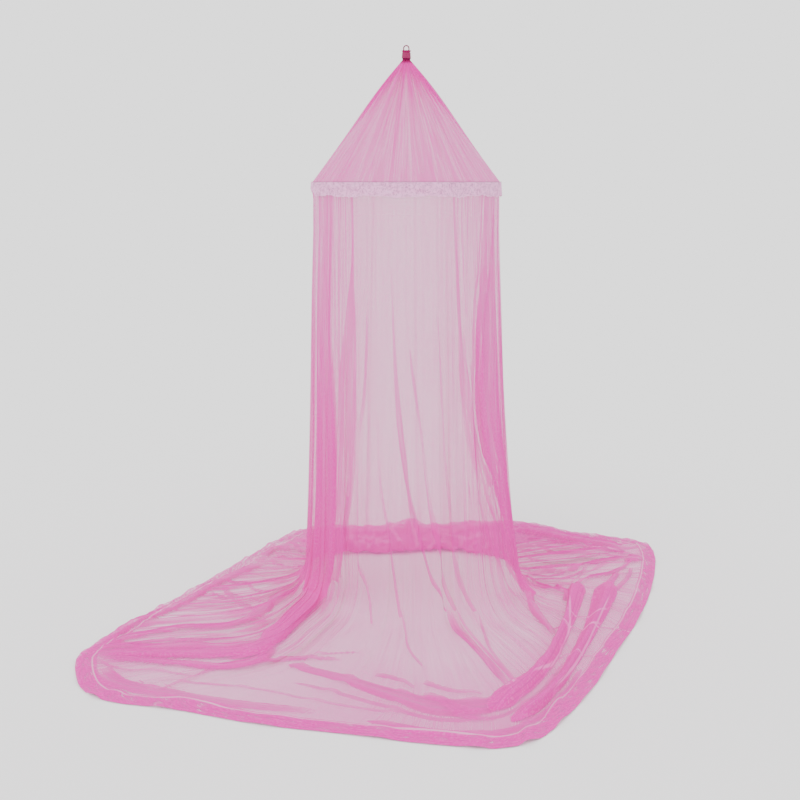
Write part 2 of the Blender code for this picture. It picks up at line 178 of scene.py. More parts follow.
# Gathered strands down the cloth. Each row is a point of a strand: place, azimuth, half width in millimetres,
# extra layers, height in millimetres. Each strand is laid where it meets the fewest before it, so the order
# of the rows counts, here and in ROLLS and CREASES.
STRANDS = {
    "second left bundle, edge": (
        (0.25, 238, 3, 0.3, 0), (0.42, 239.5, 4, 1.6, 1), (0.51, 239, 4, 1.7, 2), (0.66, 236.5, 4, 1.7, 2),
        (0.78, 232.5, 5, 1.5, 3), (0.95, 227, 5, 1.2, 4),
    ),
    "left bundle": (
        (0.0, 212, 34, 0.6, 0), (0.2, 211, 42, 1.4, 1), (0.4, 213, 50, 3.0, 2), (0.6, 215.5, 54, 5.5, 3),
        (0.8, 216, 58, 8.0, 5), (0.93, 214, 62, 9.0, 8), (1.08, 208, 54, 9.0, 10),
    ),
    "left bundle core": (
        (0.0, 220, 4, 2.0, 1), (0.3, 220, 7, 1.8, 3), (0.6, 224, 10, 1.2, 4), (0.85, 224, 12, 0.6, 4),
    ),
    "left line 1": ((0.0, 206, 4, 1.0, 1), (0.35, 206, 6, 0.6, 2), (0.7, 207, 6, 0.3, 0)),
    "left line 2": ((0.0, 213, 4, 0.7, 1), (0.3, 213, 5, 0.7, 2), (0.6, 213, 6, 0.3, 0)),
    "left line 3": ((0.0, 230, 4, 0.8, 1), (0.22, 230, 4, 0.7, 2), (0.5, 228, 5, 0.2, 0)),
    "left edge": ((0.0, 193, 4, 0.8, 1), (0.4, 193, 5, 0.4, 3), (1.0, 196, 8, 0.5, 4)),
    "second left bundle": (
        (0.0, 236.5, 4, 2.2, 0), (0.2, 237, 6, 2.2, 1), (0.32, 235.5, 22, 1.9, 2),
        (0.44, 233.5, 34, 1.8, 3), (0.6, 233, 36, 1.7, 4), (0.72, 231, 34, 1.9, 4), (0.82, 228, 30, 2.0, 5),
        (0.95, 224, 20, 2.0, 6),
    ),
    "front line 1": (
        (0.25, 247, 3, 0.0, 0), (0.34, 247, 4, 1.4, 2), (0.46, 246, 4, 1.4, 2), (0.7, 241, 3, 0.3, 1),
        (0.86, 243, 4, 1.6, 3), (0.98, 251, 4, 1.8, 4), (1.08, 255, 4, 1.1, 3),
    ),
    "front line 2": (
        (0.5, 253, 3, 0.3, 1), (0.7, 256, 4, 1.0, 2), (0.85, 262, 4, 1.8, 3), (1.02, 268, 5, 1.8, 4),
    ),
    "front line 3": (
        (0.18, 261, 3, 0.5, 0), (0.35, 263, 4, 1.3, 2), (0.42, 264, 6, 1.8, 4), (0.6, 268, 8, 2.2, 5),
        (0.7, 272, 7, 2.6, 6), (0.85, 280, 4, 2.6, 5), (1.0, 290, 3, 2.4, 4),
    ),
    "front line 4": (
        (0.34, 272, 3, 0.5, 0), (0.42, 274, 4, 1.3, 2), (0.56, 278, 4, 1.0, 2), (0.85, 287, 6, 1.8, 4),
        (1.0, 294, 8, 1.9, 5),
    ),
    "front line 5": (
        (0.26, 286, 3, 0.5, 0), (0.4, 289, 4, 1.3, 2), (0.58, 291, 4, 0.8, 2), (0.85, 296, 5, 1.6, 4),
        (1.02, 301, 6, 1.6, 5),
    ),
    "right line": (
        (0.0, 298, 3, 2.0, 1), (0.2, 300, 4, 2.2, 2), (0.32, 301, 6, 1.9, 4), (0.42, 302, 11, 1.7, 6),
        (0.54, 304, 13, 1.2, 5), (0.75, 308, 10, 0.4, 3),
    ),
    "right line, inner branch": (
        (0.5, 304, 4, 0.6, 1), (0.64, 306, 4, 1.3, 2), (0.8, 311, 4, 1.4, 3), (1.0, 320, 5, 1.4, 4),
    ),
    "right line, outer branch": (
        (0.5, 307, 4, 0.6, 1), (0.64, 310, 4, 1.4, 2), (0.78, 315, 5, 1.8, 3), (1.0, 326, 6, 1.8, 4),
    ),
    "right bundle": (
        (0.0, 330, 34, 0.8, 0), (0.15, 328, 44, 1.5, 1), (0.27, 324, 55, 2.7, 2), (0.38, 321, 58, 3.6, 3),
        (0.5, 319, 60, 4.6, 4), (0.64, 321, 55, 5.6, 5), (0.75, 327, 46, 6.6, 6), (0.88, 331, 36, 7.5, 8),
        (1.0, 333, 27, 7.0, 8), (1.12, 332, 20, 4.0, 8),
    ),
    "right bundle, inner edge": (
        (0.0, 321, 3, 1.8, 1), (0.16, 317, 3, 2.0, 1), (0.26, 312, 4, 2.0, 2), (0.38, 310, 5, 1.8, 3),
        (0.49, 307.5, 5, 1.8, 3), (0.56, 308, 5, 1.8, 3), (0.64, 311.5, 5, 1.6, 4), (0.75, 317, 6, 1.4, 4),
        (0.9, 324, 6, 1.2, 5),
    ),
    "right bundle, crossing line": (
        (0.0, 337, 4, 2.4, 1), (0.17, 329, 5, 2.4, 3), (0.24, 323, 5, 2.0, 4), (0.34, 317, 7, 1.5, 4),
        (0.7, 314, 9, 0.8, 4),
    ),
    "right edge": ((0.0, 346, 4, 0.9, 1), (0.5, 345, 5, 0.4, 3), (1.0, 344, 14, 1.2, 6)),
    "side lines": ((0.0, 5, 4, 0.8, 1), (0.5, 6, 6, 0.6, 3), (1.0, 8, 8, 0.8, 5)),
    "back line 1": ((0.0, 62, 4, 0.5, 1), (0.5, 60, 6, 0.5, 3), (1.0, 58, 8, 0.6, 4)),
    "back line 2": ((0.0, 84, 4, 0.4, 1), (0.6, 82, 5, 0.4, 2), (1.0, 80, 6, 0.4, 3)),
    "back line 3": ((0.0, 112, 4, 0.5, 1), (0.5, 115, 6, 0.5, 3), (1.0, 117, 8, 0.6, 4)),
    "back line 4": ((0.0, 148, 4, 0.7, 1), (0.5, 150, 7, 0.6, 3), (1.0, 153, 9, 0.7, 5)),
    "back line 5": ((0.0, 172, 4, 0.7, 1), (0.5, 173, 6, 0.6, 3), (1.0, 176, 9, 0.7, 5)),
}

# Creases on the floor, in plan, lengths in millimetres: half width at each end, extra layers at each end,
# height, then the points x, y. Layers below 0 are as many layers, drawn with a painted highlight.
CREASES = {
    "left bundle": (
        (40, 34), (6.5, 5.0), 20,
        (-262, -85), (-298, -200), (-342, -330), (-385, -470), (-432, -575), (-520, -622),
    ),
    "upper stripe": (
        (18, 13), (3.2, 2.6), 12,
        (-430, -520), (-500, -556), (-622, -562), (-731, -572), (-873, -565), (-915, -590),
    ),
    "middle stripe": (
        (30, 14), (4.6, 3.8), 16,
        (-430, -590), (-520, -606), (-640, -608), (-778, -605), (-895, -605),
    ),
    "lower stripe": (
        (18, 10), (3.6, 3.0), 12,
        (-385, -560), (-420, -640), (-500, -680), (-627, -670), (-769, -641), (-885, -622),
    ),
    "a": ((15, 6), (2.8, 1.0), 8, (-420, -650), (-308, -632), (-182, -635)),
    "a, thin": ((5, 5), (1.2, 0.8), 5, (-330, -628), (-230, -600), (-130, -590)),
    "left fan 1": (
        (18, 12), (1.8, 2.4), 12,
        (-350, -100), (-412, -180), (-452, -310), (-484, -362), (-545, -415), (-610, -428), (-678, -427),
        (-736, -453), (-858, -522), (-912, -578),
    ),
    "left fan 2": ((7, 7), (1.4, 1.2), 6, (-368, -290), (-419, -392), (-485, -432)),
    "left fan 3": ((9, 8), (1.3, 1.2), 7, (-480, -495), (-575, -512), (-744, -518), (-850, -558)),
    "back left edge": (
        (22, 15), (1.6, 2.6), 12,
        (-494, 120), (-575, 10), (-625, -60), (-682, -160), (-720, -245), (-775, -325), (-838, -400),
        (-880, -500), (-918, -572),
    ),
    "left wrinkle 1": ((6, 6), (1.3, 0.8), 5, (-614, -47), (-517, -130), (-442, -163)),
    "left wrinkle 2": ((6, 6), (1.2, 0.8), 5, (-592, -64), (-490, -89), (-373, -30)),
    "left wrinkle 3": ((6, 5), (1.2, 0.8), 5, (-493, 121), (-438, 70), (-355, 58)),
    "left wrinkle 4": ((6, 5), (1.2, 0.8), 5, (-494, 131), (-458, 165), (-366, 150)),
    "left wrinkle 5": ((6, 6), (1.1, 0.9), 5, (-619, -130), (-532, -240), (-460, -314)),
    "left wrinkle 6": ((5, 5), (1.0, 0.8), 4, (-658, -150), (-568, -225), (-492, -300)),
    "left wrinkle 7": ((5, 5), (1.0, 0.8), 4, (-560, 0), (-480, -20), (-375, 15)),
    "left wrinkle 8": ((5, 5), (1.0, 0.8), 4, (-640, -100), (-550, -190), (-450, -240)),
    "left tuft": ((14, 10), (1.6, 1.4), 12, (-515, 140), (-480, 240), (-420, 255), (-355, 200)),
    "inside the front hem": (
        (30, 12), (2.8, 1.0), 8,
        (-862, -690), (-800, -765), (-727, -803), (-639, -828), (-561, -858), (-482, -878), (-380, -900),
        (-230, -925),
    ),
    "left corner line": ((5, 5), (1.2, 0.8), 4, (-880, -640), (-808, -692), (-672, -709), (-588, -732)),
    "front left line": (
        (5, 5), (1.2, 0.9), 4,
        (-688, -753), (-580, -770), (-393, -807), (-260, -858), (-120, -905), (50, -945),
    ),
    "crossing line": ((5, 5), (1.4, 1.2), 5, (-665, -807), (-588, -732), (-533, -690)),
    "c": ((10, 6), (1.3, 1.0), 6, (-88, -723), (-28, -750), (24, -804)),
    "c, right": ((12, 7), (1.6, 1.0), 7, (45, -764), (77, -791), (150, -826), (200, -831)),
    "c, gathered": ((14, 26), (1.0, 1.8), 8, (36, -833), (85, -860), (140, -930), (190, -950)),
    "front 2": ((5, 4), (1.2, 0.8), 4, (-20, -350), (0, -462), (14, -590), (50, -690)),
    "front 3": (
        (5, 4), (2.4, 2.0), 6,
        (118, -340), (141, -428), (186, -535), (226, -651), (252, -736), (280, -810),
    ),
    "front 3, beside": (
        (4, 4), (1.8, 1.6), 4,
        (128, -335), (150, -418), (196, -520), (236, -640), (262, -730), (290, -808),
    ),
    "front 4": (
        (4, 4), (2.0, 2.0), 5,
        (150, -330), (182, -410), (215, -520), (252, -640), (280, -720), (305, -800),
    ),
    "between 3 and 4": ((14, 14), (0.9, 0.9), 3, (135, -350), (200, -550), (262, -740)),
    "front 5": ((3, 4), (1.3, 1.5), 4, (222, -345), (234, -460), (250, -580), (275, -680), (305, -775)),
    "back right edge": (
        (40, 26), (2.2, 2.4), 18,
        (400, 440), (474, 440), (618, 355), (741, 290), (822, 236),
    ),
    "right fan 1": ((8, 6), (2.2, 2.4), 10, (440, 360), (550, 325), (652, 285), (830, 205)),
    "right fan 2": ((5, 6), (2.0, 2.4), 8, (405, 240), (546, 208), (731, 225), (845, 190)),
    "right fan 3": (
        (6, 7), (2.4, 2.6), 12,
        (400, 71), (476, 25), (579, 25), (650, 92), (754, 139), (835, 162),
    ),
    "right fan 4": ((7, 6), (2.6, 2.0), 12, (400, -20), (450, -100), (523, -155), (570, -170)),
    "right fan 5": ((6, 7), (2.2, 2.4), 12, (560, -107), (639, -30), (705, 0), (830, 135)),
    "right fan 6": ((4, 5), (1.8, 2.0), 6, (415, 150), (520, 120), (650, 160), (800, 170)),
    "right fan 7": ((4, 5), (1.8, 1.6), 6, (430, -40), (500, -50), (570, -20), (640, 50)),
    "right fan 8": ((4, 4), (1.6, 1.8), 5, (400, 190), (510, 165), (660, 195), (820, 180)),
    "right fan 9": ((4, 4), (1.6, 1.8), 5, (410, 300), (520, 270), (680, 260), (830, 200)),
    "right fan 10": ((4, 4), (1.6, 1.6), 5, (405, 20), (480, -20), (600, 50), (720, 110)),
    "right fan 11": ((4, 4), (1.4, 1.6), 5, (460, -80), (540, -90), (620, 10), (730, 80)),
    "right bundle on the floor": (
        (20, 8), (3.6, 1.8), 12,
        (372, -120), (388, -210), (402, -300), (428, -400), (446, -490),
    ),
    "tuft at the inner roll": ((20, 6), (2.6, 1.6), 16, (535, -215), (575, -150), (590, -90)),
    "tuft at the inner roll, left": ((12, 5), (2.0, 1.4), 12, (520, -230), (530, -160), (500, -110)),
    "tuft at the middle roll": ((18, 8), (2.2, 1.8), 14, (655, -185), (690, -90), (740, 10)),
    "tuft at the middle roll, right": ((10, 6), (1.8, 1.4), 10, (690, -150), (750, -60), (800, 60)),
    "crossing the rolls": (
        (3, 3), (2.6, 2.2), 4,
        (430, -440), (475, -425), (520, -450), (570, -430), (640, -440), (690, -470),
    ),
    "crossing the rolls 2": ((3, 3), (1.6, 1.2), 4, (480, -440), (530, -450), (600, -400)),
    "crossing the rolls 3": ((3, 3), (1.4, 1.2), 4, (420, -640), (470, -610), (540, -625)),
    "crossing the rolls 4": ((3, 3), (1.4, 1.2), 4, (500, -340), (560, -360), (640, -300)),
    "along the inner roll": (
        (1.8, 1.8), (1.8, 1.8), 4,
        (330, -780), (400, -690), (455, -570), (500, -430), (525, -320), (545, -220),
    ),
    "along the middle roll": (
        (1.8, 1.8), (1.8, 1.8), 4,
        (375, -850), (450, -720), (520, -570), (580, -420), (625, -300), (665, -200),
    ),
    "back band, foot": (
        (9, 9), (-2.5, -2.5), 8,
        (-255, 148), (-202, 179), (-157, 142), (-140, 175), (-120, 134), (-81, 119), (-56, 142), (-20, 134),
        (35, 168), (96, 158), (156, 184), (198, 158), (261, 179), (311, 209), (374, 179),
    ),
    "back band, top left": (
        (11, 11), (-3.0, -3.0), 6,
        (-268, 414), (-195, 443), (-148, 414), (-105, 426), (-59, 449),
    ),
    "back band, top right": (
        (11, 11), (-3.0, -3.0), 6,
        (89, 426), (155, 414), (209, 420), (265, 443), (314, 461),
    ),
    "back band, hump left": ((7, 6), (-3.0, -3.0), 12, (-98, 443), (-58, 403), (-23, 314), (-9, 199)),
    "back band, hump ridge": ((12, 6), (-3.0, -3.0), 14, (32, 472), (39, 414), (45, 314), (46, 189)),
    "back band 1": ((6, 6), (-3.0, -3.0), 8, (-237, 426), (-212, 392), (-189, 304), (-170, 209)),
    "back band 2": (
        (10, 10), (-3.0, -3.0), 10,
        (-198, 250), (-163, 304), (-124, 261), (-88, 314), (-49, 250),
    ),
    "back band 3": (
        (10, 10), (-3.0, -3.0), 8,
        (-246, 304), (-210, 347), (-173, 369), (-130, 336), (-96, 369),
    ),
    "back band 4": (
        (10, 10), (-3.0, -3.0), 10,
        (56, 314), (93, 304), (130, 282), (173, 240), (224, 219), (269, 230),
    ),
    "back band 5": ((11, 10), (-3.0, -3.0), 8, (124, 414), (173, 380), (235, 336), (271, 358), (305, 403)),
    "back band 6": ((7, 6), (-3.0, -3.0), 8, (68, 199), (99, 250), (140, 336), (158, 403)),
    "back band 7": ((7, 8), (-3.0, -3.0), 8, (237, 199), (265, 282), (311, 336), (365, 380)),
    "back band 8": ((7, 7), (-3.0, -3.0), 8, (-144, 179), (-123, 240), (-106, 304), (-81, 358)),
    "back band 9": ((8, 8), (-3.0, -3.0), 8, (275, 219), (325, 282), (368, 304), (420, 358)),
    "back band 10": ((6, 6), (-3.0, -3.0), 8, (181, 189), (203, 250), (215, 314), (203, 380)),
    "right corner": ((30, 30), (2.2, 2.2), 14, (800, 150), (845, 120)),
}
CREASE_END_FADE = 0.12  # the share of a crease over which each end fades
CREASE_START = 0.97  # the place at the foot of the wall from which creases fade in
CREASE_START_FADE = 0.08
LAYINGS = 6  # how many strands the material can tell apart at one point
STRAND_MARGIN = 0.014  # how far past its edge a strand still has layers
STRAND_FADE = 0.4 * STRAND_MARGIN  # over which they run out there
STRAND_REACH = 2.5 * STRAND_MARGIN  # how far past its edge the distance from a strand is known
THIN_STRAND = 0.0045  # strands with a smaller half width than this get a painted highlight on dense cloth

# Small pleats everywhere.
PLEATS = 118
PLEAT_PLACES = (0.0, 0.9, 1.5, 2.0)
PLEAT_HEIGHTS = (0.0008, 0.0035, 0.0035, 0.0025)  # at those places
PLEAT_WIDTHS = (0.55, 0.9)  # the narrowest, and how much wider the widest is, before they are fitted round
PLEAT_DEPTHS = (0.4, 0.9)  # the shallowest share of the height, and how much deeper the deepest is
PLEAT_LEAN = 1.4
PLEAT_LAYERS = 1.1
PLEAT_CREST = 0.55  # the share of its height above which a pleat shows denser
MEANDER_START = 0.8  # the place below which pleats wander

# The crumpled cloth on the floor, most of all at the back.
CRUMPLE_HEIGHT = 0.014
CRUMPLE_SIZE = 0.050  # about the distance between its ridges
CRUMPLE_LAYERS = 0.8
CRUMPLE_CREST = 0.35  # the share of its height above which a ridge shows denser
CRUMPLE_PLACES = (1.6, 1.95)
CRUMPLE_SHARES = (1.0, 0.25)  # how high the ridges are at those places

# Where the floor's look takes over from the wall's, as places. At the back it starts later and along an
# uneven line, so that the foot of the back wall stays sheer.
FLOOR_LOOK_START = 0.90
FLOOR_LOOK_FADE = 0.10
BACK_AZIMUTH = 90.0
BACK_REACH = 70.0  # degrees to each side of the back
BACK_LATER = 0.08
BACK_SCALLOP = 0.05
BACK_SHARPER = 0.07  # how much shorter the fade is there
OUTER_FLOOR_START = 1.25  # where the outer floor's look takes over from the inner floor's
OUTER_FLOOR_FADE = 0.3

# Bunches that stand up along the back hem: x of the middle, half width in metres, height.
BUNCHES = (
    (-0.250, 0.070, 0.006),
    (-0.050, 0.060, 0.010),
    (0.020, 0.075, 0.026),
    (0.260, 0.100, 0.008),
)
BUNCH_START_Y = 0.30  # behind the hoop's axis
BUNCH_RISE = 0.12  # from there to where they are full

HOOP_CLOTH = 1.9  # the length round the hoop of the cone's and the frill's cloth

# The cone: columns and rows of its mesh, and its pleats: how many round, height, and phase.
CONE_COLUMNS, CONE_ROWS = 540, 60
CONE_PLEATS, CONE_PLEAT_HEIGHT = 18, 0.008
CONE_TUCKS, CONE_TUCK_HEIGHT = 47, 0.002
CONE_GATHERS, CONE_GATHER_HEIGHT = 90, 0.0008
CONE_CUT_LENGTH = 0.5  # from the hoop to the neck, laid flat
NECK_RADIUS = 0.0113
NECK_FOOT = 0.028  # how far below the neck's top the cone ends

# The lace frill: columns and rows of its mesh, its waves, and how uneven its lower edge is.
FRILL_COLUMNS, FRILL_ROWS = 720, 14
FRILL_LENGTH = 0.044
FRILL_LIFT = 0.002  # outside the cloth at the hoop
FRILL_FLARE = 0.001
FRILL_WAVES, FRILL_WAVE_HEIGHT = 17, 0.003
FRILL_RUFFLES, FRILL_RUFFLE_HEIGHT = 61, 0.0006
FRILL_SCALLOPS, FRILL_SCALLOP_DEPTH = 45, 0.0020
FRILL_NARROW_AZIMUTH, FRILL_NARROW_REACH, FRILL_NARROWING = 186.0, 22.0, 0.45

# The tape round the neck.
TAPE_WIDTH = 0.0074
TAPE_TURNS = 4.4
TAPE_THICKNESS = 0.0005
TAPE_STEPS = 330
TAPE_TUCK = 0.4  # turns at each end that stay level
TAPE_TAPER = 0.03  # turns over which each end thins out

CORD_RADIUS = 0.002
CORD_PLIES = 3
PLY_SHARE = 0.47  # a ply's radius as a share of the cord's
CORD_PITCH = 0.011  # the length of one full twist

HEM_RIPPLE = 0.006  # how far the hem's edge lifts
HEM_WAVER = 0.005  # how far the hem's edge wanders
HEM_WAVER_START, HEM_WAVER_RISE = 1.8, 0.2  # the places over which both grow
HEM_CALM = 0.35  # the share of them that is left where the cloth isn't crumpled

# The hem at an azimuth: how wide it is across its length, and how many layers it adds.
HEMS = (
    (0, 0.046, 3.4),
    (20, 0.044, 2.8),
    (60, 0.048, 1.0),
    (120, 0.048, 0.8),
    (150, 0.044, 0.8),
    (185, 0.040, 1.0),
    (205, 0.044, 3.4),
    (222, 0.050, 4.6),
    (245, 0.052, 4.6),
    (270, 0.054, 5.0),
    (300, 0.054, 4.8),
    (335, 0.050, 4.0),
)
HEM_RAISE = 0.0015
HEM_TOLERANCE = 1.001  # so that the hem's first row of points counts as in it
SEAM_WIDTH = 0.004
THINNEST_NET = 0.6  # the fewest layers anywhere

# The mesh of the wall: columns stand closer where the folds are finer. Azimuth and columns to a degree.
COLUMN_DENSITY = (
    (0, 1.8),
    (30, 1.7),
    (60, 1.5),
    (120, 1.5),
    (165, 1.8),
    (195, 2.6),
    (235, 2.4),
    (255, 1.9),
    (285, 2.3),
    (345, 2.3),
)
NET_COLUMNS = 720
NET_CUT_WIDTH = 6.2  # round the hem, laid flat
WALL_STEPS = 24
FLOOR_STEPS = 102
FLOOR_START = 0.88  # the place where the closer rows start
HEM_STEPS = 8
WINDOW = np.linspace(-1.0, 1.0, 13)  # where the path is sampled to round a knee

PINK = (0.84, 0.065, 0.48)
DEEP_PINK = (0.70, 0.010, 0.36)
# The next colour is painted highlight, on crumple ridges, on narrow strands and on the back band's creases;
# it also tints a random light grain on dense net.
PALE_HIGHLIGHT_PINK = (0.96, 0.30, 0.68)
RASPBERRY = (0.34, 0.004, 0.11)
DARK_RASPBERRY = (0.20, 0.002, 0.05)
LAYER_ALPHA = 0.36  # how much one layer of net covers
MESHES = 400.0  # holes in a metre of net

# The camera, as the photo's perspective gives it, in metres, millimetres and degrees.
CAMERA_X, CAMERA_Y, CAMERA_HEIGHT = -0.0196, -3.266, 1.33
CAMERA_TILT = 12.24  # below the level
LENS, SENSOR = 45.0, 36.0
SKY_STRENGTH, SUN_STRENGTH, SUN_ANGLE = 1.9, 1.15, 40.0
FLOOR_GREY, FLOOR_REACH = 0.86, 40.0


# Curves and profiles.


def hermite(places, values, at):
    """Values on a smooth curve through the given places; values may have several columns."""
    slopes = np.gradient(values, places, axis=0)
    after = np.clip(np.searchsorted(places, at, side="right"), 1, len(places) - 1)
    step = places[after] - places[after - 1]
    t = np.clip((at - places[after - 1]) / step, 0.0, 1.0)
    if values.ndim > 1:
        step, t = step[..., None], t[..., None]
    return (
        values[after - 1] * (1 + 2 * t) * (1 - t) ** 2
        + slopes[after - 1] * step * t * (1 - t) ** 2
        + values[after] * t * t * (3 - 2 * t)
        - slopes[after] * step * t * t * (1 - t)
    )


def around(table, azimuth):
    """The columns of a table at any azimuth, on a smooth closed curve through its rows."""
    rows = np.array(table, dtype=float)
    places = np.concatenate([rows[-2:, 0] - 360.0, rows[:, 0], rows[:2, 0] + 360.0])
    values = np.concatenate([rows[-2:, 1:], rows[:, 1:], rows[:2, 1:]])
    return hermite(places, values, np.mod(azimuth, 360.0))


def bump(distance, half_width):
    """A smooth ridge of height 1 at distance 0, and flat past half_width."""
    share = np.clip(np.abs(distance) / half_width, 0.0, 1.0)
    return 0.5 + 0.5 * np.cos(math.pi * share)


def band(distance, half_width):
    """A ridge with a broad top and a soft edge at half_width."""
    share = np.clip((1.3 * half_width - np.abs(distance)) / (0.7 * half_width), 0.0, 1.0)
    return share * share * (3 - 2 * share)


def turn_between(a, b):
    return np.mod(a - b + 180.0, 360.0) - 180.0


def unit(vectors):
    return vectors / np.linalg.norm(vectors, axis=-1)[..., None]


# The smooth net, without folds.


def rib_corners(azimuth, columns):
    """The rib's corners in plan: at the hoop, at the knee, where it turns on the floor, and at the hem."""
    angle = np.radians(azimuth)
    top = HOOP_RADIUS * np.stack([np.cos(angle), np.sin(angle)], axis=-1)
    return top, columns[..., 0:2], columns[..., 4:6], columns[..., 6:8]


def rib_lengths(azimuth, columns):
    """How long a rib is down the wall, from the knee to the turn, and from the turn to the hem."""
    top, knee, turn, hem = rib_corners(azimuth, columns)
    wall = np.hypot(np.linalg.norm(knee - top, axis=-1), HOOP_HEIGHT)
    return wall, np.linalg.norm(turn - knee, axis=-1), np.linalg.norm(hem - turn, axis=-1)


def length_to(place, lengths):
    """The length of rib from the hoop to a place."""
    legs = (np.minimum(place, 1.0), np.clip(2 * place - 2, 0.0, 1.0), np.clip(2 * place - 3, 0.0, 1.0))
    return sum(length * leg for length, leg in zip(lengths, legs))


def sharp_path(azimuth, columns, lengths, along):
    """Points at a distance along the ribs, before their corners are rounded, heights above the floor."""
    top, knee, turn, hem = rib_corners(azimuth, columns)
    wall, to_turn, to_hem = lengths
    down = np.clip(along / wall, 0.0, 1.0)
    nip = np.interp(down * HOOP_HEIGHT, NIP_DROPS, (0.0, NIP, 0.0))
    top = top * (1.0 - nip / HOOP_RADIUS)[..., None]
    first = np.clip((along - wall) / to_turn, 0.0, 1.0)[..., None]
    second = np.clip((along - wall - to_turn) / to_hem, 0.0, 1.0)[..., None]
    plan = top + (knee - top) * (down ** columns[..., 2])[..., None]
    plan = plan + (turn - knee) * first + (hem - turn) * second
    return np.concatenate([plan, (HOOP_HEIGHT * (1.0 - down))[..., None]], axis=-1)


def smooth_net(azimuth, place):
    """Points of the unfolded net, heights above the floor. Corners are rounded by averaging over a window."""
    columns = around(STATIONS, azimuth)
    lengths = rib_lengths(azimuth, columns)
    along = length_to(place, lengths)
    bend = columns[..., 3]
    window = bend + (TURN - bend) * bump(place - 1.5, 0.5)
    window = np.minimum(window, np.minimum(along, sum(lengths) - along))
    return sum(sharp_path(azimuth, columns, lengths, along + window * k) for k in WINDOW) / len(WINDOW)


def net_frame(azimuth, place):
    """At each point: unit vectors down the rib, round the net and out of it, and metres to a degree."""
    turn, step = 0.4, 0.01  # degrees and places over which the slopes are taken
    above = smooth_net(azimuth, np.maximum(place - step, 0.0))
    down = smooth_net(azimuth, np.minimum(place + step, 2.0)) - above
    round_net = smooth_net(azimuth + turn, place) - smooth_net(azimuth - turn, place)
    width = np.linalg.norm(round_net, axis=-1) / (2 * turn)
    down, side = unit(down), unit(round_net)
    return down, side, unit(np.cross(down, side)), width


# Folds, rolls, strands and creases. Each adds its height, its push along the cloth and its layers of net.


class Relief:
    """What lies on the smooth net at each point.

    Strands are drawn sharp by the material, from how far a point is from the middle of each. They are shared
    out over LAYINGS: each goes to the one where it meets the fewest others.
    """

    def __init__(self, shape):
        self.height = np.zeros(shape)
        self.side_push = np.zeros(shape)
        self.down_push = np.zeros(shape)
        self.layers = np.zeros(shape)
        self.laid = np.zeros((LAYINGS, *shape, 3))  # away from the middle, half width and extra layers
        self.laid[..., 0] = 1.0

    def raise_to(self, height):
        self.height = np.maximum(self.height, height)

    def lay_strand(self, inside, away, half_width, extra):
        """Lays a strand over the points inside, in the laying where it meets the fewest others."""
        beyond = np.abs(away) - half_width
        drawn = extra * np.clip((STRAND_MARGIN - beyond) / STRAND_FADE, 0.0, 1.0)
        met = [(laying[inside][drawn != 0, 2] != 0).sum() for laying in self.laid]
        laying = self.laid[int(np.argmin(met))]
        rows = laying[inside]
        free = (np.abs(drawn) > np.abs(rows[:, 2])) | ((rows[:, 2] == 0) & (beyond < STRAND_REACH))
        half_width = np.broadcast_to(half_width, away.shape)
        rows[free] = np.stack([away, half_width, drawn], axis=-1)[free]
        laying[inside] = rows


def add_folds(relief, azimuth, place):
    down = np.minimum(place, 1.0)
    over = np.clip(place - 1.0, 0.0, 1.0)
    for centre, half_width, at_foot, at_turn, lean in FOLDS:
        hanging = np.minimum(FOLD_START_SLOPE * down * HOOP_HEIGHT, at_foot * down**FOLD_GROWTH)
        laid = (at_foot + (at_turn - at_foot) * bump(over - 0.5, 0.5)) * (1.0 - FOLD_LOSS * over)
        tall = np.where(place < 1.0, hanging, laid) * bump(turn_between(azimuth, centre), half_width)
        relief.raise_to(tall)
        relief.side_push += tall * lean


def add_rolls(relief, azimuth, place, lengths):
    _, to_turn, to_hem = lengths
    for first, last, middle, half_width, tall, lean, extra in ROLLS:
        reach = (last - first) / 2.0 - np.abs(turn_between(azimuth, (first + last) / 2.0))
        fade = np.clip(reach / ROLL_FADE, 0.0, 1.0)
        away = 2 * (place - middle) * (to_turn if middle < 1.5 else to_hem)
        ridge = fade * bump(away, half_width)
        relief.raise_to(tall * ridge)
        relief.down_push += tall * ridge * lean
        inside = (fade > 0) & (np.abs(away) < ROLL_REACH)
        relief.lay_strand(inside, away[inside], ROLL_LAID * half_width * np.sqrt(fade[inside]), extra)


def add_strands(relief, azimuth, place, width):
    for rows in STRANDS.values():
        rows = np.array(rows) / (1.0, 1.0, MILLIMETRES, 1.0, MILLIMETRES)
        inside = (place >= rows[0, 0]) & (place <= rows[-1, 0])
        at = place[inside]
        centre, half_width, extra, tall = (hermite(rows[:, 0], rows[:, k], at) for k in (1, 2, 3, 4))
        away = turn_between(azimuth[inside], centre) * width[inside]
        relief.height[inside] += np.maximum(tall, 0.0) * band(away, half_width)
        relief.lay_strand(inside, away, half_width, np.maximum(extra, 0.0))


def curve_through(corners, count=40):
    """Points on a smooth curve through corners in plan."""
    steps = np.linalg.norm(np.diff(corners, axis=0), axis=1)
    places = np.concatenate([[0.0], np.cumsum(steps)])
    return hermite(places, corners, np.linspace(0.0, places[-1], count))


def nearest_on(line, points):
    """How far points lie to the left of a line in plan (below 0: to its right), and at what share of it."""
    start, step = line[:-1], np.diff(line, axis=0)
    offset = points[:, None, :] - start
    share = np.clip((offset * step).sum(-1) / (step * step).sum(-1), 0.0, 1.0)
    distance = np.linalg.norm(offset - share[..., None] * step, axis=-1)
    side = np.sign(step[:, 0] * offset[..., 1] - step[:, 1] * offset[..., 0])
    nearest = distance.argmin(axis=1)
    rows = np.arange(len(points))
    return (distance * side)[rows, nearest], (nearest + share[rows, nearest]) / len(step)


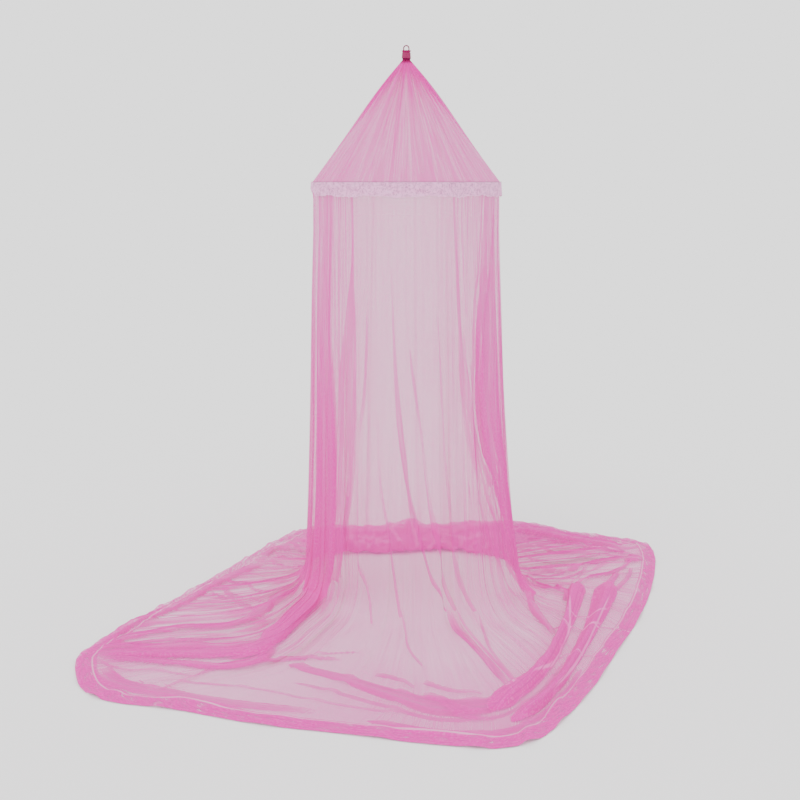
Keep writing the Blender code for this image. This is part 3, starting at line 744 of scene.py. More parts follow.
def add_creases(relief, points, place):
    """The creases in plan. They fade in over the foot of the wall."""
    plan = points[..., :2]
    laid = np.clip((place - CREASE_START) / CREASE_START_FADE, 0.0, 1.0)
    for half_widths, extras, tall, *corners in CREASES.values():
        half_widths = np.array(half_widths) / MILLIMETRES
        line = curve_through(np.array(corners) / MILLIMETRES)
        reach = half_widths.max() + STRAND_REACH
        inside = (laid > 0) & np.all((plan > line.min(0) - reach) & (plan < line.max(0) + reach), axis=-1)
        away, share = nearest_on(line, plan[inside])
        fade = np.clip(np.minimum(share, 1.0 - share) / CREASE_END_FADE, 0.0, 1.0) * laid[inside]
        half_width = np.interp(share, (0.0, 1.0), half_widths)
        ridge = tall / MILLIMETRES * fade * band(away, half_width)
        relief.height[inside] = np.maximum(relief.height[inside], ridge)
        relief.lay_strand(inside, away, half_width, np.interp(share, (0.0, 1.0), extras) * fade)


def add_pleats(relief, azimuth, place, gather):
    """Small pleats of uneven width, depth and lean all round, which meander a little."""
    golden, silver, bronze = 0.6180339887, 0.7548776662, 0.5698402910  # they spread values with no repeat
    number = np.arange(PLEATS)
    widths = PLEAT_WIDTHS[0] + PLEAT_WIDTHS[1] * np.mod(number * golden, 1.0)
    edges = np.concatenate([[0.0], np.cumsum(widths)]) * 360.0 / widths.sum()
    meander = azimuth + np.clip(place - MEANDER_START, 0.0, 1.0) * np.sin(9.0 * place + azimuth / 7.0)
    tall = np.interp(place, PLEAT_PLACES, PLEAT_HEIGHTS)
    for k in number:
        centre, half_width = (edges[k] + edges[k + 1]) / 2, widths[k] * 360.0 / widths.sum() * 0.5
        depth = PLEAT_DEPTHS[0] + PLEAT_DEPTHS[1] * ((k * silver) % 1.0)
        lean = PLEAT_LEAN if (k * bronze) % 1.0 > 0.5 else -PLEAT_LEAN
        ridge = depth * bump(turn_between(meander, centre), half_width)
        relief.height += tall * gather * ridge
        relief.side_push += tall * gather * ridge * lean
        relief.layers += PLEAT_LAYERS * gather * np.maximum(ridge - PLEAT_CREST, 0.0)


def add_bunches(relief, points):
    """The back hem's strip stands up unevenly."""
    behind = np.clip((points[..., 1] - BUNCH_START_Y) / BUNCH_RISE, 0.0, 1.0)
    for middle, half_width, tall in BUNCHES:
        relief.height += tall * behind * bump(points[..., 0] - middle, half_width)


def add_hem_waver(relief, azimuth, place, crumpled):
    """The hem's edge is a little uneven, in its line and in its height, and most where it lies crumpled."""
    angle = np.radians(azimuth)
    line = np.sin(23 * angle + 1.0) + 0.7 * np.sin(41 * angle) + 0.5 * np.sin(67 * angle + 2.0)
    lift = np.sin(19 * angle) * np.sin(47 * angle + 0.5) + 0.6 * np.sin(83 * angle)
    near = np.clip((place - HEM_WAVER_START) / HEM_WAVER_RISE, 0.0, 1.0)
    uneven = near * (HEM_CALM + (1.0 - HEM_CALM) * crumpled)
    relief.down_push -= HEM_WAVER * uneven * (0.5 + 0.25 * line)
    relief.height += HEM_RIPPLE * uneven * (0.5 + 0.35 * lift).clip(0)


def ruck(points, size):
    """An uneven pattern of small sharp ridges, from 0 to 1."""
    x, y = points[..., 0] / size, points[..., 1] / size
    bend = np.sin(1.3 * x + 0.7 * y) + np.sin(0.6 * x - 1.1 * y + 2.0)
    first = 1.0 - np.abs(np.sin(2.1 * x + 1.2 * bend))
    second = 1.0 - np.abs(np.sin(1.7 * y + 1.5 * x + 1.4 * bend + 1.0))
    return 0.6 * first**2 + 0.4 * second**2


# The net wall.


def net_ring():
    """Azimuths of the columns, closer together where COLUMN_DENSITY is higher."""
    fine = np.linspace(0.0, 360.0, 3601)
    total = np.concatenate([[0.0], np.cumsum(around(COLUMN_DENSITY, fine[:-1] + 0.05)[:, 0])])
    return np.interp(np.arange(NET_COLUMNS) / NET_COLUMNS, total / total[-1], fine)


def hem_reach(ring):
    """How far up each rib the hem reaches: more where the rib meets the hem at a slant."""
    _, _, turn, hem = rib_corners(ring, around(STATIONS, ring))
    following = rib_corners(ring + 1.0, around(STATIONS, ring + 1.0))[3]
    before = rib_corners(ring - 1.0, around(STATIONS, ring - 1.0))[3]
    rib, edge = unit(hem - turn), unit(following - before)
    across = np.abs(rib[:, 0] * edge[:, 1] - rib[:, 1] * edge[:, 0])
    return around(HEMS, ring)[:, 0] / np.maximum(across, 0.5)


def net_places(reach, to_hem):
    """Rows of places for every column: even steps on the wall and floor, then the seam and the hem."""
    hem = 2.0 - 0.5 * reach / to_hem
    seam_end = hem + 0.5 * SEAM_WIDTH / to_hem
    wall_rows = [np.full_like(to_hem, t) for t in np.linspace(0.0, FLOOR_START, WALL_STEPS, endpoint=False)]
    floor_rows = [FLOOR_START + (hem - FLOOR_START) * t for t in np.linspace(0.0, 1.0, FLOOR_STEPS)]
    hem_rows = [seam_end + (2.0 - seam_end) * t for t in np.linspace(0.0, 1.0, HEM_STEPS)]
    return np.array(wall_rows + floor_rows + hem_rows)


def share_on_floor(azimuth, place):
    """0 on the wall and 1 on the floor. At the back the floor's look starts along an uneven line."""
    angle = np.radians(azimuth)
    scallops = np.abs(np.sin(7.5 * angle + 0.4)) + 0.5 * np.sin(19 * angle)
    behind = bump(turn_between(azimuth, BACK_AZIMUTH), BACK_REACH) ** 0.5
    start = FLOOR_LOOK_START + behind * (BACK_LATER + BACK_SCALLOP * scallops)
    return np.clip((place - start) / (FLOOR_LOOK_FADE - BACK_SHARPER * behind), 0.0, 1.0)


def from_wall_to_hem(values, place, on_floor):
    """Blends three values: on the wall, on the inner floor and on the outer floor."""
    on_outer = np.clip((place - OUTER_FLOOR_START) / OUTER_FLOOR_FADE, 0.0, 1.0)
    wall, inner, outer = values[..., 0], values[..., 1], values[..., 2]
    return wall + (inner - wall) * on_floor + (outer - inner) * on_outer


def build_net_wall():
    ring = net_ring()
    reach = hem_reach(ring)
    place = net_places(reach, rib_lengths(ring, around(STATIONS, ring))[2])
    azimuth = np.broadcast_to(ring, place.shape).copy()
    lengths = rib_lengths(azimuth, around(STATIONS, azimuth))
    points = smooth_net(azimuth, place)
    down, side, out, width = net_frame(azimuth, place)
    regions = around(REGIONS, azimuth)
    on_floor = share_on_floor(azimuth, place)
    extra = from_wall_to_hem(regions[..., 0:3], place, on_floor)
    gather = from_wall_to_hem(regions[..., 3:6], place, on_floor)
    crumpled = regions[..., 6] * on_floor

    relief = Relief(place.shape)
    add_folds(relief, azimuth, place)
    add_rolls(relief, azimuth, place, lengths)
    add_strands(relief, azimuth, place, width)
    add_creases(relief, points, place)
    add_pleats(relief, azimuth, place, gather)
    add_bunches(relief, points)
    add_hem_waver(relief, azimuth, place, crumpled)
    crumple = crumpled * ruck(points, CRUMPLE_SIZE)
    relief.height += CRUMPLE_HEIGHT * crumple * np.interp(place, CRUMPLE_PLACES, CRUMPLE_SHARES)
    relief.layers += 1.0 + CRUMPLE_LAYERS * (crumple - CRUMPLE_CREST).clip(0)
    relief.layers += extra
    in_hem = (2.0 - place) * 2 * lengths[2] <= reach * HEM_TOLERANCE
    relief.height += HEM_RAISE * in_hem
    relief.layers += around(HEMS, azimuth)[..., 1] * in_hem

    points = points + out * relief.height[..., None]
    points = points + side * relief.side_push[..., None] + down * relief.down_push[..., None]
    points[..., 2] = np.maximum(points[..., 2], CLOTH_LIFT) + FLOOR_Z
    cut = np.stack([azimuth / 360.0 * NET_CUT_WIDTH, length_to(place, lengths)], axis=-1)
    slots = np.zeros((len(place) - 1, NET_COLUMNS), dtype=int)
    slots[WALL_STEPS + FLOOR_STEPS - 1] = 1
    values = {
        "layers": relief.layers.clip(THINNEST_NET),
        "gather": gather,
        "crumpled": crumpled.clip(0.0, 1.0),
        "hem": in_hem * 1.0,
    }
    for k in range(LAYINGS):
        values["laid_%d" % k] = relief.laid[k]
    net = tube_mesh("net_wall_cloth", points, cut, values, slots)
    net.data.materials.append(net_material("net", LAYINGS))
    net.data.materials.append(seam_material())
    dress(net, "net", "net_wall")
    # The area was fitted to the limits of the sheet check and isn't a measure of the real net. The fine
    # gathers are drawn in the material and not built as folds, so this sheet has less cloth than the net.
    return net


def tube_mesh(name, points, cut, values, slots=None):
    """A closed tube of quads through rows of points, with a map in metres of cut cloth and values on them."""
    rows, columns = points.shape[:2]
    index = np.arange(rows * columns).reshape(rows, columns)
    following = np.roll(index, -1, axis=1)
    quads = np.stack([index[:-1], index[1:], following[1:], following[:-1]], axis=-1).reshape(-1, 4)
    mesh = bpy.data.meshes.new(name)
    mesh.vertices.add(rows * columns)
    mesh.vertices.foreach_set("co", points.reshape(-1))
    mesh.loops.add(quads.size)
    mesh.loops.foreach_set("vertex_index", quads.reshape(-1))
    mesh.polygons.add(len(quads))
    mesh.polygons.foreach_set("loop_start", np.arange(0, quads.size, 4))
    mesh.polygons.foreach_set("use_smooth", np.ones(len(quads), dtype=bool))
    if slots is not None:
        mesh.polygons.foreach_set("material_index", slots.reshape(-1))
    uv = cut.reshape(-1, 2)[quads]
    last = (quads[:, 0] % columns) == columns - 1  # the quads that close the ring go on past the map's edge
    uv[last, 2:, 0] = uv[last, 0:1, 0] + cut[0, 1, 0] - cut[0, 0, 0]
    mesh.uv_layers.new(name="cloth").data.foreach_set("uv", uv.reshape(-1))
    for label, value in values.items():
        kind, field = ("FLOAT", "value") if value.ndim == 2 else ("FLOAT_VECTOR", "vector")
        mesh.attributes.new(label, kind, "POINT").data.foreach_set(field, value.reshape(-1))
    mesh.update()
    mesh.validate()
    piece = bpy.data.objects.new(name, mesh)
    bpy.context.scene.collection.objects.link(piece)
    return piece


def dress(piece, slot, *nodes):
    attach(piece, "root")
    if nodes:
        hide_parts(*nodes)


def ring_and_share(columns, rows):
    """Angles round a tube, the same for each of its rows, and each row's share of the way along it."""
    ring = np.arange(columns) * 2 * math.pi / columns
    angle = np.broadcast_to(ring, (rows, columns))
    return ring, angle, np.broadcast_to(np.linspace(0.0, 1.0, rows)[:, None], (rows, columns))


def build_net_cone():
    """The cone: many pleats that start at the neck and fade towards the hoop."""
    ring, angle, share = ring_and_share(CONE_COLUMNS, CONE_ROWS)
    neck_foot = NECK_TOP_Z - NECK_FOOT
    radius = HOOP_RADIUS + (NECK_RADIUS - HOOP_RADIUS) * share
    fade = np.sin(math.pi * share**2.2)
    radius = radius + CONE_PLEAT_HEIGHT * fade * np.cos(CONE_PLEATS * angle).clip(0)
    radius = radius + CONE_TUCK_HEIGHT * fade * np.cos(CONE_TUCKS * angle + 1.0)
    radius = radius + CONE_GATHER_HEIGHT * np.cos(CONE_GATHERS * angle) * share
    z = SEAM_Z + (neck_foot - SEAM_Z) * share
    points = [np.stack([radius * np.cos(angle), radius * np.sin(angle), z], axis=-1)]
    # The gathered end above the cone: height, radius and how much it waves.
    neck = (
        (neck_foot + 0.023, NECK_RADIUS, 0.0),
        (NECK_TOP_Z - 0.003, NECK_RADIUS + 0.001, 0.0008),
        (NECK_TOP_Z, NECK_RADIUS + 0.002, 0.0015),
    )
    for height, middle, wave in neck:
        reach = middle + wave * np.cos(CONE_PLEATS * ring)
        row = np.stack([reach * np.cos(ring), reach * np.sin(ring), np.full(CONE_COLUMNS, height)], axis=-1)
        points.append(row[None])
    points = np.concatenate(points)
    share = np.concatenate([share, np.ones((len(neck), CONE_COLUMNS))])
    angle = np.broadcast_to(ring, share.shape)
    layers = 1.6 + 2.4 * share**6 + 16.0 * share**30 + 1.0 * share**3 * np.cos(CONE_PLEATS * angle)
    cut = np.stack([angle / (2 * math.pi) * HOOP_CLOTH, share * CONE_CUT_LENGTH], axis=-1)
    none = 0 * layers
    values = {"layers": layers[::-1], "gather": 0.25 + 0.45 * share[::-1], "crumpled": none, "hem": none}
    cone = tube_mesh("net_cone_cloth", points[::-1], cut[::-1], values)
    cone.data.materials.append(net_material("net_top", 0))
    dress(cone, "net_top", "net_cone")
    return cone


def build_lace_frill():
    """A lace frill with an uneven lower edge, narrower at the far left."""
    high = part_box("lace_frill")[1]
    _, angle, share = ring_and_share(FRILL_COLUMNS, FRILL_ROWS)
    wave = FRILL_WAVE_HEIGHT * (0.5 + 0.5 * np.cos(FRILL_WAVES * angle))
    wave = wave * (0.7 + 0.3 * np.sin(3 * angle + 1.0))
    wave = wave + FRILL_RUFFLE_HEIGHT * np.sin(FRILL_RUFFLES * angle) * share
    radius = HOOP_RADIUS + FRILL_LIFT + FRILL_FLARE * share + wave * share
    from_left = turn_between(np.degrees(angle), FRILL_NARROW_AZIMUTH)
    narrow = 1.0 - FRILL_NARROWING * bump(from_left, FRILL_NARROW_REACH)
    uneven = 0.0022 * np.sin(11 * angle + 0.6) + 0.0012 * np.sin(29 * angle)
    length = FRILL_LENGTH * narrow + uneven - FRILL_SCALLOP_DEPTH * np.abs(np.sin(FRILL_SCALLOPS * angle))
    height = high.z - length * share
    points = np.stack([radius * np.cos(angle), radius * np.sin(angle), height], axis=-1)
    cut = np.stack([angle / (2 * math.pi) * HOOP_CLOTH, length * share], axis=-1)
    frill = tube_mesh("lace_frill_cloth", points, cut, {"edge": share})
    frill.data.materials.append(lace_material())
    dress(frill, "lace", "lace_frill")
    return frill


def tape_strip(path, out, across, width, thickness):
    """Rows of points round a flat strip on a path: over its outer face and back under its inner one."""
    places = np.linspace(-0.5, 0.5, 7)
    crown = 1.0 + 0.5 * (1.0 - (2 * places) ** 2)
    face = path[:, None] + across[:, None] * (places * width)[:, None]
    outer = face + out[:, None] * (thickness[:, None] * crown)[..., None]
    return np.concatenate([outer, face[:, ::-1]], axis=1)


def build_neck_binding():
    """Narrow tape wound round the neck, each turn over half of the one above."""
    low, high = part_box("neck_binding")
    inner = high.x - 0.0021
    step = np.linspace(0.0, TAPE_TURNS, TAPE_STEPS)
    angle = 2 * math.pi * step
    radius = inner + 0.00028 * step + 0.00008 * np.sin(7 * angle)
    top, foot = high.z - TAPE_WIDTH / 2 - 0.0003, low.z + TAPE_WIDTH / 2 + 0.0003
    sunk = np.clip((step - TAPE_TUCK) / (TAPE_TURNS - 2 * TAPE_TUCK), 0.0, 1.0)
    height = top + (foot - top) * sunk + 0.0002 * np.sin(3.3 * angle)
    path = np.stack([radius * np.cos(angle), radius * np.sin(angle), height], axis=-1)
    out = np.stack([np.cos(angle), np.sin(angle), np.zeros_like(angle)], axis=-1)
    across = np.tile((0.0, 0.0, 1.0), (len(step), 1))
    thickness = TAPE_THICKNESS * np.clip(np.minimum(step, TAPE_TURNS - step) / TAPE_TAPER, 0.02, 1.0)
    points = tape_strip(path, out, across, TAPE_WIDTH, thickness)
    round_tape = np.linspace(0.0, 0.016, points.shape[1])
    cut = np.stack(np.broadcast_arrays(round_tape, (angle * inner)[:, None]), axis=-1)
    tape = tube_mesh("neck_tape", points[::-1], cut[::-1], {})
    tape.data.materials.append(tape_material())
    dress(tape, "binding", "neck_binding")


def loop_route():
    """Points along the hanging loop: up one side of the neck, over, and down the other side."""
    low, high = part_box("hanging_loop")
    half_width = high.x - CORD_RADIUS
    arc_z = high.z - high.x
    turn = np.linspace(0.0, math.pi, 61)
    leg = np.linspace(low.z, arc_z, 30, endpoint=False)
    up = np.stack([np.full_like(leg, half_width), np.zeros_like(leg), leg], axis=-1)
    over = np.stack([half_width * np.cos(turn), 0 * turn, arc_z + half_width * np.sin(turn)], axis=-1)
    down = (up * (-1.0, 1.0, 1.0))[::-1]
    return np.concatenate([up, over, down])


def build_hanging_loop():
    """A cord of three plies that twist round each other."""
    route = loop_route()
    along = unit(np.gradient(route, axis=0))
    side = np.tile((0.0, 1.0, 0.0), (len(route), 1))
    out = np.cross(along, side)
    length = np.concatenate([[0.0], np.cumsum(np.linalg.norm(np.diff(route, axis=0), axis=1))])
    ply_radius = CORD_RADIUS * PLY_SHARE
    offset = CORD_RADIUS - ply_radius
    ring = np.arange(8) * math.pi / 4
    for ply in range(CORD_PLIES):
        twist = 2 * math.pi * (length / CORD_PITCH + ply / CORD_PLIES)
        middle = route + offset * (side * np.cos(twist)[:, None] + out * np.sin(twist)[:, None])
        circle = side[:, None] * np.cos(ring)[:, None] + out[:, None] * np.sin(ring)[:, None]
        points = middle[:, None] + ply_radius * circle
        cut = np.stack(np.broadcast_arrays(ring * ply_radius, length[:, None]), axis=-1)
        strand = tube_mesh("cord_ply_%d" % (ply + 1), points, cut, {})
        strand.data.materials.append(cord_material())
        dress(strand, "cord", "hanging_loop")


# Materials.


class Nodes:
    """A short way to add and link shader nodes."""

    def __init__(self, name):
        self.material = bpy.data.materials.new(name)
        self.material.use_nodes = True
        self.tree = self.material.node_tree
        self.shader = self.tree.nodes["Principled BSDF"]

    def add(self, kind, inputs=(), **settings):
        node = self.tree.nodes.new(kind)
        for name, value in settings.items():
            setattr(node, name, value)
        for key, value in dict(inputs).items():
            self.set(node.inputs[key], value)
        return node

    def set(self, socket, value):
        if isinstance(value, bpy.types.NodeSocket):
            self.tree.links.new(value, socket)
        else:
            socket.default_value = value

    def math(self, operation, *values):
        node = self.add("ShaderNodeMath", enumerate(values), operation=operation)
        return node.outputs[0]

    def value_of(self, attribute):
        return self.add("ShaderNodeAttribute", attribute_name=attribute).outputs["Fac"]

    def noise(self, vector, scale, detail=2.0):
        return self.add(
            "ShaderNodeTexNoise", {"Vector": vector, "Scale": scale, "Detail": detail, "Roughness": 0.6}
        ).outputs["Fac"]

    def cloth_at(self, across, along):
        """The cloth's own coordinates, scaled to so many cells a metre across and along."""
        uv = self.add("ShaderNodeUVMap", uv_map="cloth").outputs[0]
        return self.add("ShaderNodeMapping", {"Vector": uv, "Scale": (across, along, 1.0)}).outputs[0]

    def mix(self, share, first, second):
        node = self.add("ShaderNodeMix", {0: share}, data_type="RGBA")
        self.set(node.inputs[6], first)
        self.set(node.inputs[7], second)
        return node.outputs[2]

    def blend(self, share, first, second):
        """A number between first and second."""
        node = self.add("ShaderNodeMix", {0: share, 2: first, 3: second}, data_type="FLOAT")
        return node.outputs[0]

    def spread(self, value, low, high, out_low, out_high):
        return self.add(
            "ShaderNodeMapRange",
            {"Value": value, "From Min": low, "From Max": high, "To Min": out_low, "To Max": out_high},
        ).outputs[0]


def threads(n, vector, width):
    """Thin wandering lines, where a noise passes its middle value."""
    away = n.math("ABSOLUTE", n.math("SUBTRACT", n.noise(vector, 1.0, 1.0), 0.5))
    return n.spread(away, 0.0, width, 1.0, 0.0)


def net_streaks(n):
    """How densely the threads lie at a point, around 1: streaks down the gathers, crumples, and the hem's.

    Then how far the point is on a crumple's sharp ridge, which gets a painted highlight.
    """
    down = n.spread(n.noise(n.cloth_at(60.0, 1.3), 1.0, 3.0), 0.33, 0.67, 0.30, 1.5)
    fine = n.spread(n.noise(n.cloth_at(240.0, 3.0), 1.0, 1.0), 0.3, 0.7, 0.6, 1.4)
    few, many = threads(n, n.cloth_at(17.0, 0.9), 0.026), threads(n, n.cloth_at(43.0, 1.8), 0.040)
    lines = n.math("MAXIMUM", few, many)
    gathered = n.math("ADD", n.math("MULTIPLY", down, fine), n.math("MULTIPLY", lines, 2.0))
    place = n.add("ShaderNodeTexCoord").outputs["Object"]
    soft = n.spread(n.noise(place, 16.0, 3.0), 0.40, 0.60, 0.5, 1.2)
    broad = n.add("ShaderNodeMapping", {"Vector": place, "Scale": (15.0, 6.0, 10.0)}).outputs[0]
    narrow = n.add("ShaderNodeMapping", {"Vector": place, "Scale": (34.0, 13.0, 20.0)}).outputs[0]
    ridges = n.math("MAXIMUM", threads(n, broad, 0.05), n.math("MULTIPLY", threads(n, narrow, 0.07), 0.8))
    crumpled = n.math("ADD", soft, n.math("MULTIPLY", ridges, 1.2))
    streaks = n.blend(n.value_of("crumpled"), gathered, crumpled)
    streaks = n.blend(n.value_of("gather"), 1.0, streaks)
    hemmed = n.spread(n.noise(n.cloth_at(22.0, 110.0), 1.0, 4.0), 0.36, 0.64, 0.25, 1.5)
    patches = n.spread(n.noise(n.cloth_at(16.0, 16.0), 1.0, 3.0), 0.36, 0.64, 0.6, 1.3)
    streaks = n.blend(n.value_of("hem"), streaks, n.math("MULTIPLY", hemmed, patches))
    # The second value is the share of painted highlight on the crumples' ridges.
    return streaks, n.math("MULTIPLY", n.math("MULTIPLY", ridges, 0.35), n.value_of("crumpled"))


def weave(n):
    """The net's own threads and holes, around 1."""
    cells = {"Vector": n.cloth_at(MESHES, MESHES), "Scale": 1.0, "Randomness": 0.35}
    holes = n.add("ShaderNodeTexVoronoi", cells, feature="DISTANCE_TO_EDGE", voronoi_dimensions="2D")
    return n.spread(holes.outputs["Distance"], 0.05, 0.15, 1.8, 0.75)


def laid_strand(n, number):
    """The layers that one laying adds, streaked along and sharp at its edges. Then its share of painted
    highlight.
    """
    laid = n.add("ShaderNodeAttribute", attribute_name="laid_%d" % number).outputs["Vector"]
    away, half_width, extra = n.add("ShaderNodeSeparateXYZ", {0: laid}).outputs
    share = n.math("DIVIDE", n.math("ABSOLUTE", away), n.math("MAXIMUM", half_width, 0.001))
    beyond = n.math("SUBTRACT", n.math("ABSOLUTE", away), half_width)
    inside = n.spread(beyond, -0.0025, 0.0015, 1.0, 0.0)
    rim = n.spread(n.math("MULTIPLY", share, share), 0.0, 1.0, 0.8, 1.3)
    _, down, _ = n.add("ShaderNodeSeparateXYZ", {0: n.cloth_at(1.0, 3.0)}).outputs
    here = n.add("ShaderNodeCombineXYZ", {"X": n.math("MULTIPLY", away, 170.0), "Y": down, "Z": 3.0 * number})
    streaks = n.spread(n.noise(here.outputs[0], 1.0, 2.0), 0.34, 0.66, 0.35, 1.65)
    layers = n.math("MULTIPLY", n.math("MULTIPLY", n.math("ABSOLUTE", extra), inside), rim)
    # Narrow strands and strands with layers below 0 get a painted highlight, which the material puts on dense
    # cloth.
    edge = n.math("MAXIMUM", n.math("LESS_THAN", half_width, THIN_STRAND), n.math("LESS_THAN", extra, 0.0))
    strand_highlight = n.math("MULTIPLY", edge, n.math("MINIMUM", layers, 1.0))
    return n.math("MULTIPLY", layers, streaks), strand_highlight


def net_material(name, layings):
    """Sheer net: the more layers and threads lie on each other, the denser and deeper it is."""
    n = Nodes(name)
    streaks, ridges = net_streaks(n)
    deep = n.math("MULTIPLY", n.value_of("layers"), streaks)
    edges = 0.0
    for number in range(layings):
        layers, strand_highlight = laid_strand(n, number)
        deep = n.math("ADD", deep, layers)
        edges = n.math("MAXIMUM", edges, strand_highlight)
    # Painted highlight: on crumple ridges, and on narrow strands where the net is dense; a random light grain
    # shows there too.
    dense = n.spread(deep, 3.5, 6.5, 0.0, 1.0)
    grain = n.spread(n.noise(n.cloth_at(150.0, 150.0), 1.0, 2.0), 0.45, 0.65, 0.0, 0.25)
    on_dense = n.math("MAXIMUM", n.math("MULTIPLY", edges, 0.65), grain)
    highlight_and_grain = n.math("MAXIMUM", ridges, n.math("MULTIPLY", on_dense, dense))
    deep = n.math("MULTIPLY", deep, weave(n))
    alpha = n.math("SUBTRACT", 1.0, n.math("POWER", 1.0 - LAYER_ALPHA, deep))
    tint = n.spread(alpha, 0.3, 0.95, 0.0, 1.0)
    colour = n.mix(tint, (*PINK, 1.0), (*DEEP_PINK, 1.0))
    bound = n.spread(n.value_of("layers"), 9.0, 15.0, 0.0, 1.0)
    colour = n.mix(highlight_and_grain, colour, (*PALE_HIGHLIGHT_PINK, 1.0))
    n.set(n.shader.inputs["Base Color"], n.mix(bound, colour, (*RASPBERRY, 1.0)))
    n.set(n.shader.inputs["Alpha"], alpha)
    n.shader.inputs["Roughness"].default_value = 0.8
    n.shader.inputs["Specular IOR Level"].default_value = 0.2
    return n.material


def seam_material():
    n = Nodes("hem_seam")
    n.shader.inputs["Base Color"].default_value = (0.92, 0.30, 0.60, 1.0)
    n.shader.inputs["Alpha"].default_value = 0.7
    n.shader.inputs["Roughness"].default_value = 0.7
    return n.material


def lace_material():
    """Fine lace: petals and eyelets on a net ground, with a dark header line and a corded lower edge."""
    n = Nodes("lace")
    edge = n.value_of("edge")
    large = {"Vector": n.cloth_at(95.0, 95.0), "Scale": 1.0}
    small = {"Vector": n.cloth_at(330.0, 330.0), "Scale": 1.0}
    petals = n.add("ShaderNodeTexVoronoi", large, feature="SMOOTH_F1").outputs["Distance"]
    eyelets = n.add("ShaderNodeTexVoronoi", small).outputs["Distance"]
    flower = n.spread(petals, 0.25, 0.55, 1.0, 0.0)
    ground = n.spread(eyelets, 0.25, 0.6, 0.35, 1.0)
    cover = n.math("MAXIMUM", flower, ground)
    mottled = n.noise(n.cloth_at(60.0, 60.0), 1.0, 4.0)
    cover = n.math("MULTIPLY", cover, n.spread(mottled, 0.35, 0.65, 0.75, 1.15))
    rim = n.spread(edge, 0.93, 0.97, 0.0, 1.0)
    header = n.spread(edge, 0.03, 0.05, 1.0, 0.0)
    alpha = n.math("MAXIMUM", n.spread(cover, 0.2, 0.9, 0.45, 0.97), n.math("MAXIMUM", rim, header))
    n.set(n.shader.inputs["Alpha"], alpha)
    colour = n.mix(mottled, (0.82, 0.27, 0.60, 1.0), (0.92, 0.50, 0.79, 1.0))
    colour = n.mix(n.spread(cover, 0.3, 0.9, 0.0, 1.0), (0.56, 0.24, 0.46, 1.0), colour)
    n.set(n.shader.inputs["Base Color"], n.mix(header, colour, (0.30, 0.08, 0.20, 1.0)))
    n.shader.inputs["Roughness"].default_value = 0.75
    return n.material


def tape_material():
    """Woven tape: crossing threads and a little fuzz."""
    n = Nodes("tape")
    warp = n.add("ShaderNodeTexWave", {"Vector": n.cloth_at(1.0, 0.0), "Scale": 420.0, "Distortion": 0.3})
    across = {"Vector": n.cloth_at(0.0, 1.0), "Scale": 300.0, "Distortion": 0.3}
    weft = n.add("ShaderNodeTexWave", across, bands_direction="Y")
    woven = n.math("MULTIPLY", warp.outputs["Fac"], weft.outputs["Fac"])
    fuzz = n.noise(n.cloth_at(900.0, 900.0), 1.0, 3.0)
    shade = n.math("ADD", n.math("MULTIPLY", woven, 0.6), n.math("MULTIPLY", fuzz, 0.6))
    n.set(n.shader.inputs["Base Color"], n.mix(shade, (*DARK_RASPBERRY, 1.0), (*RASPBERRY, 1.0)))
    bump_node = n.add("ShaderNodeBump", {"Height": woven, "Strength": 0.5, "Distance": 0.0003})
    n.set(n.shader.inputs["Normal"], bump_node.outputs[0])
    n.shader.inputs["Roughness"].default_value = 0.75
    return n.material


def cord_material():
    """Spun fibres that run along each ply."""
    n = Nodes("cord")
    fibres = n.noise(n.cloth_at(4000.0, 260.0), 1.0, 3.0)
    n.set(n.shader.inputs["Base Color"], n.mix(fibres, (*DARK_RASPBERRY, 1.0), (*RASPBERRY, 1.0)))
    bump_node = n.add("ShaderNodeBump", {"Height": fibres, "Strength": 0.4, "Distance": 0.0002})
    n.set(n.shader.inputs["Normal"], bump_node.outputs[0])
    n.shader.inputs["Roughness"].default_value = 0.7
    return n.material


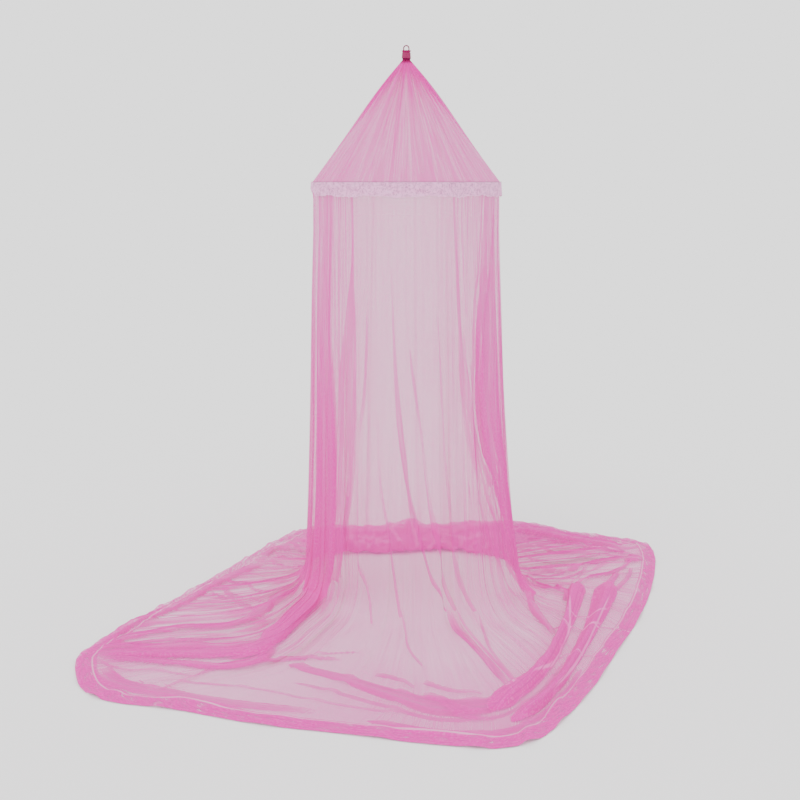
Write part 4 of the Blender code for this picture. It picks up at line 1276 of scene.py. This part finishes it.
def rod_material():
    """Pale smooth plastic with faint cloudiness and fine scuffs."""
    n = Nodes("hoop_rod")
    place = n.add("ShaderNodeTexCoord").outputs["Object"]
    cloudy = n.noise(place, 14.0, 4.0)
    n.set(n.shader.inputs["Base Color"], n.mix(cloudy, (0.66, 0.44, 0.56, 1.0), (0.80, 0.60, 0.71, 1.0)))
    scuffs = n.noise(place, 420.0, 3.0)
    n.set(n.shader.inputs["Roughness"], n.spread(scuffs, 0.35, 0.65, 0.32, 0.55))
    return n.material


def plain_material(name, colour, roughness):
    n = Nodes(name)
    n.shader.inputs["Base Color"].default_value = (*colour, 1.0)
    n.shader.inputs["Roughness"].default_value = roughness
    return n.material


# The setting.


def build_floor():
    place = (0, 0, FLOOR_Z)
    bpy.ops.mesh.primitive_circle_add(vertices=96, radius=FLOOR_REACH, fill_type="NGON", location=place)
    floor = bpy.context.object
    floor.name = "studio_floor"
    floor.data.materials.append(plain_material("studio_floor", (FLOOR_GREY, FLOOR_GREY, FLOOR_GREY), 0.95))


def build_light():
    """A bright even studio: the floor under the sun is as bright as the surroundings, so no horizon shows."""
    world = bpy.data.worlds.new("studio")
    bpy.context.scene.world = world
    world.use_nodes = True
    background = world.node_tree.nodes["Background"]
    background.inputs["Color"].default_value = (1.0, 1.0, 1.0, 1.0)
    background.inputs["Strength"].default_value = SKY_STRENGTH
    sun = bpy.data.lights.new("soft_sun", "SUN")
    sun.energy = SUN_STRENGTH
    sun.angle = math.radians(SUN_ANGLE)
    lit = bpy.data.objects.new("soft_sun", sun)
    lit.rotation_euler = Vector((0.9, 1.2, -2.2)).to_track_quat("-Z", "Y").to_euler()
    bpy.context.scene.collection.objects.link(lit)


def build_camera():
    """In front at the hoop's height, looking a little down at the laid net."""
    camera = bpy.data.cameras.new("camera")
    camera.lens, camera.sensor_width = LENS, SENSOR
    stand = bpy.data.objects.new("camera", camera)
    stand.location = (CAMERA_X, CAMERA_Y, FLOOR_Z + CAMERA_HEIGHT)
    stand.rotation_euler = (math.radians(90.0 - CAMERA_TILT), 0.0, 0.0)
    bpy.context.scene.collection.objects.link(stand)
    bpy.context.scene.camera = stand


def finish_hoop():
    """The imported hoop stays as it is, with a better material."""
    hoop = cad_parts["hoop"]
    hoop.data.materials.clear()
    hoop.data.materials.append(rod_material())


build_camera()
build_light()
build_floor()
build_net_wall()
build_net_cone()
build_lace_frill()
build_neck_binding()
build_hanging_loop()
finish_hoop()
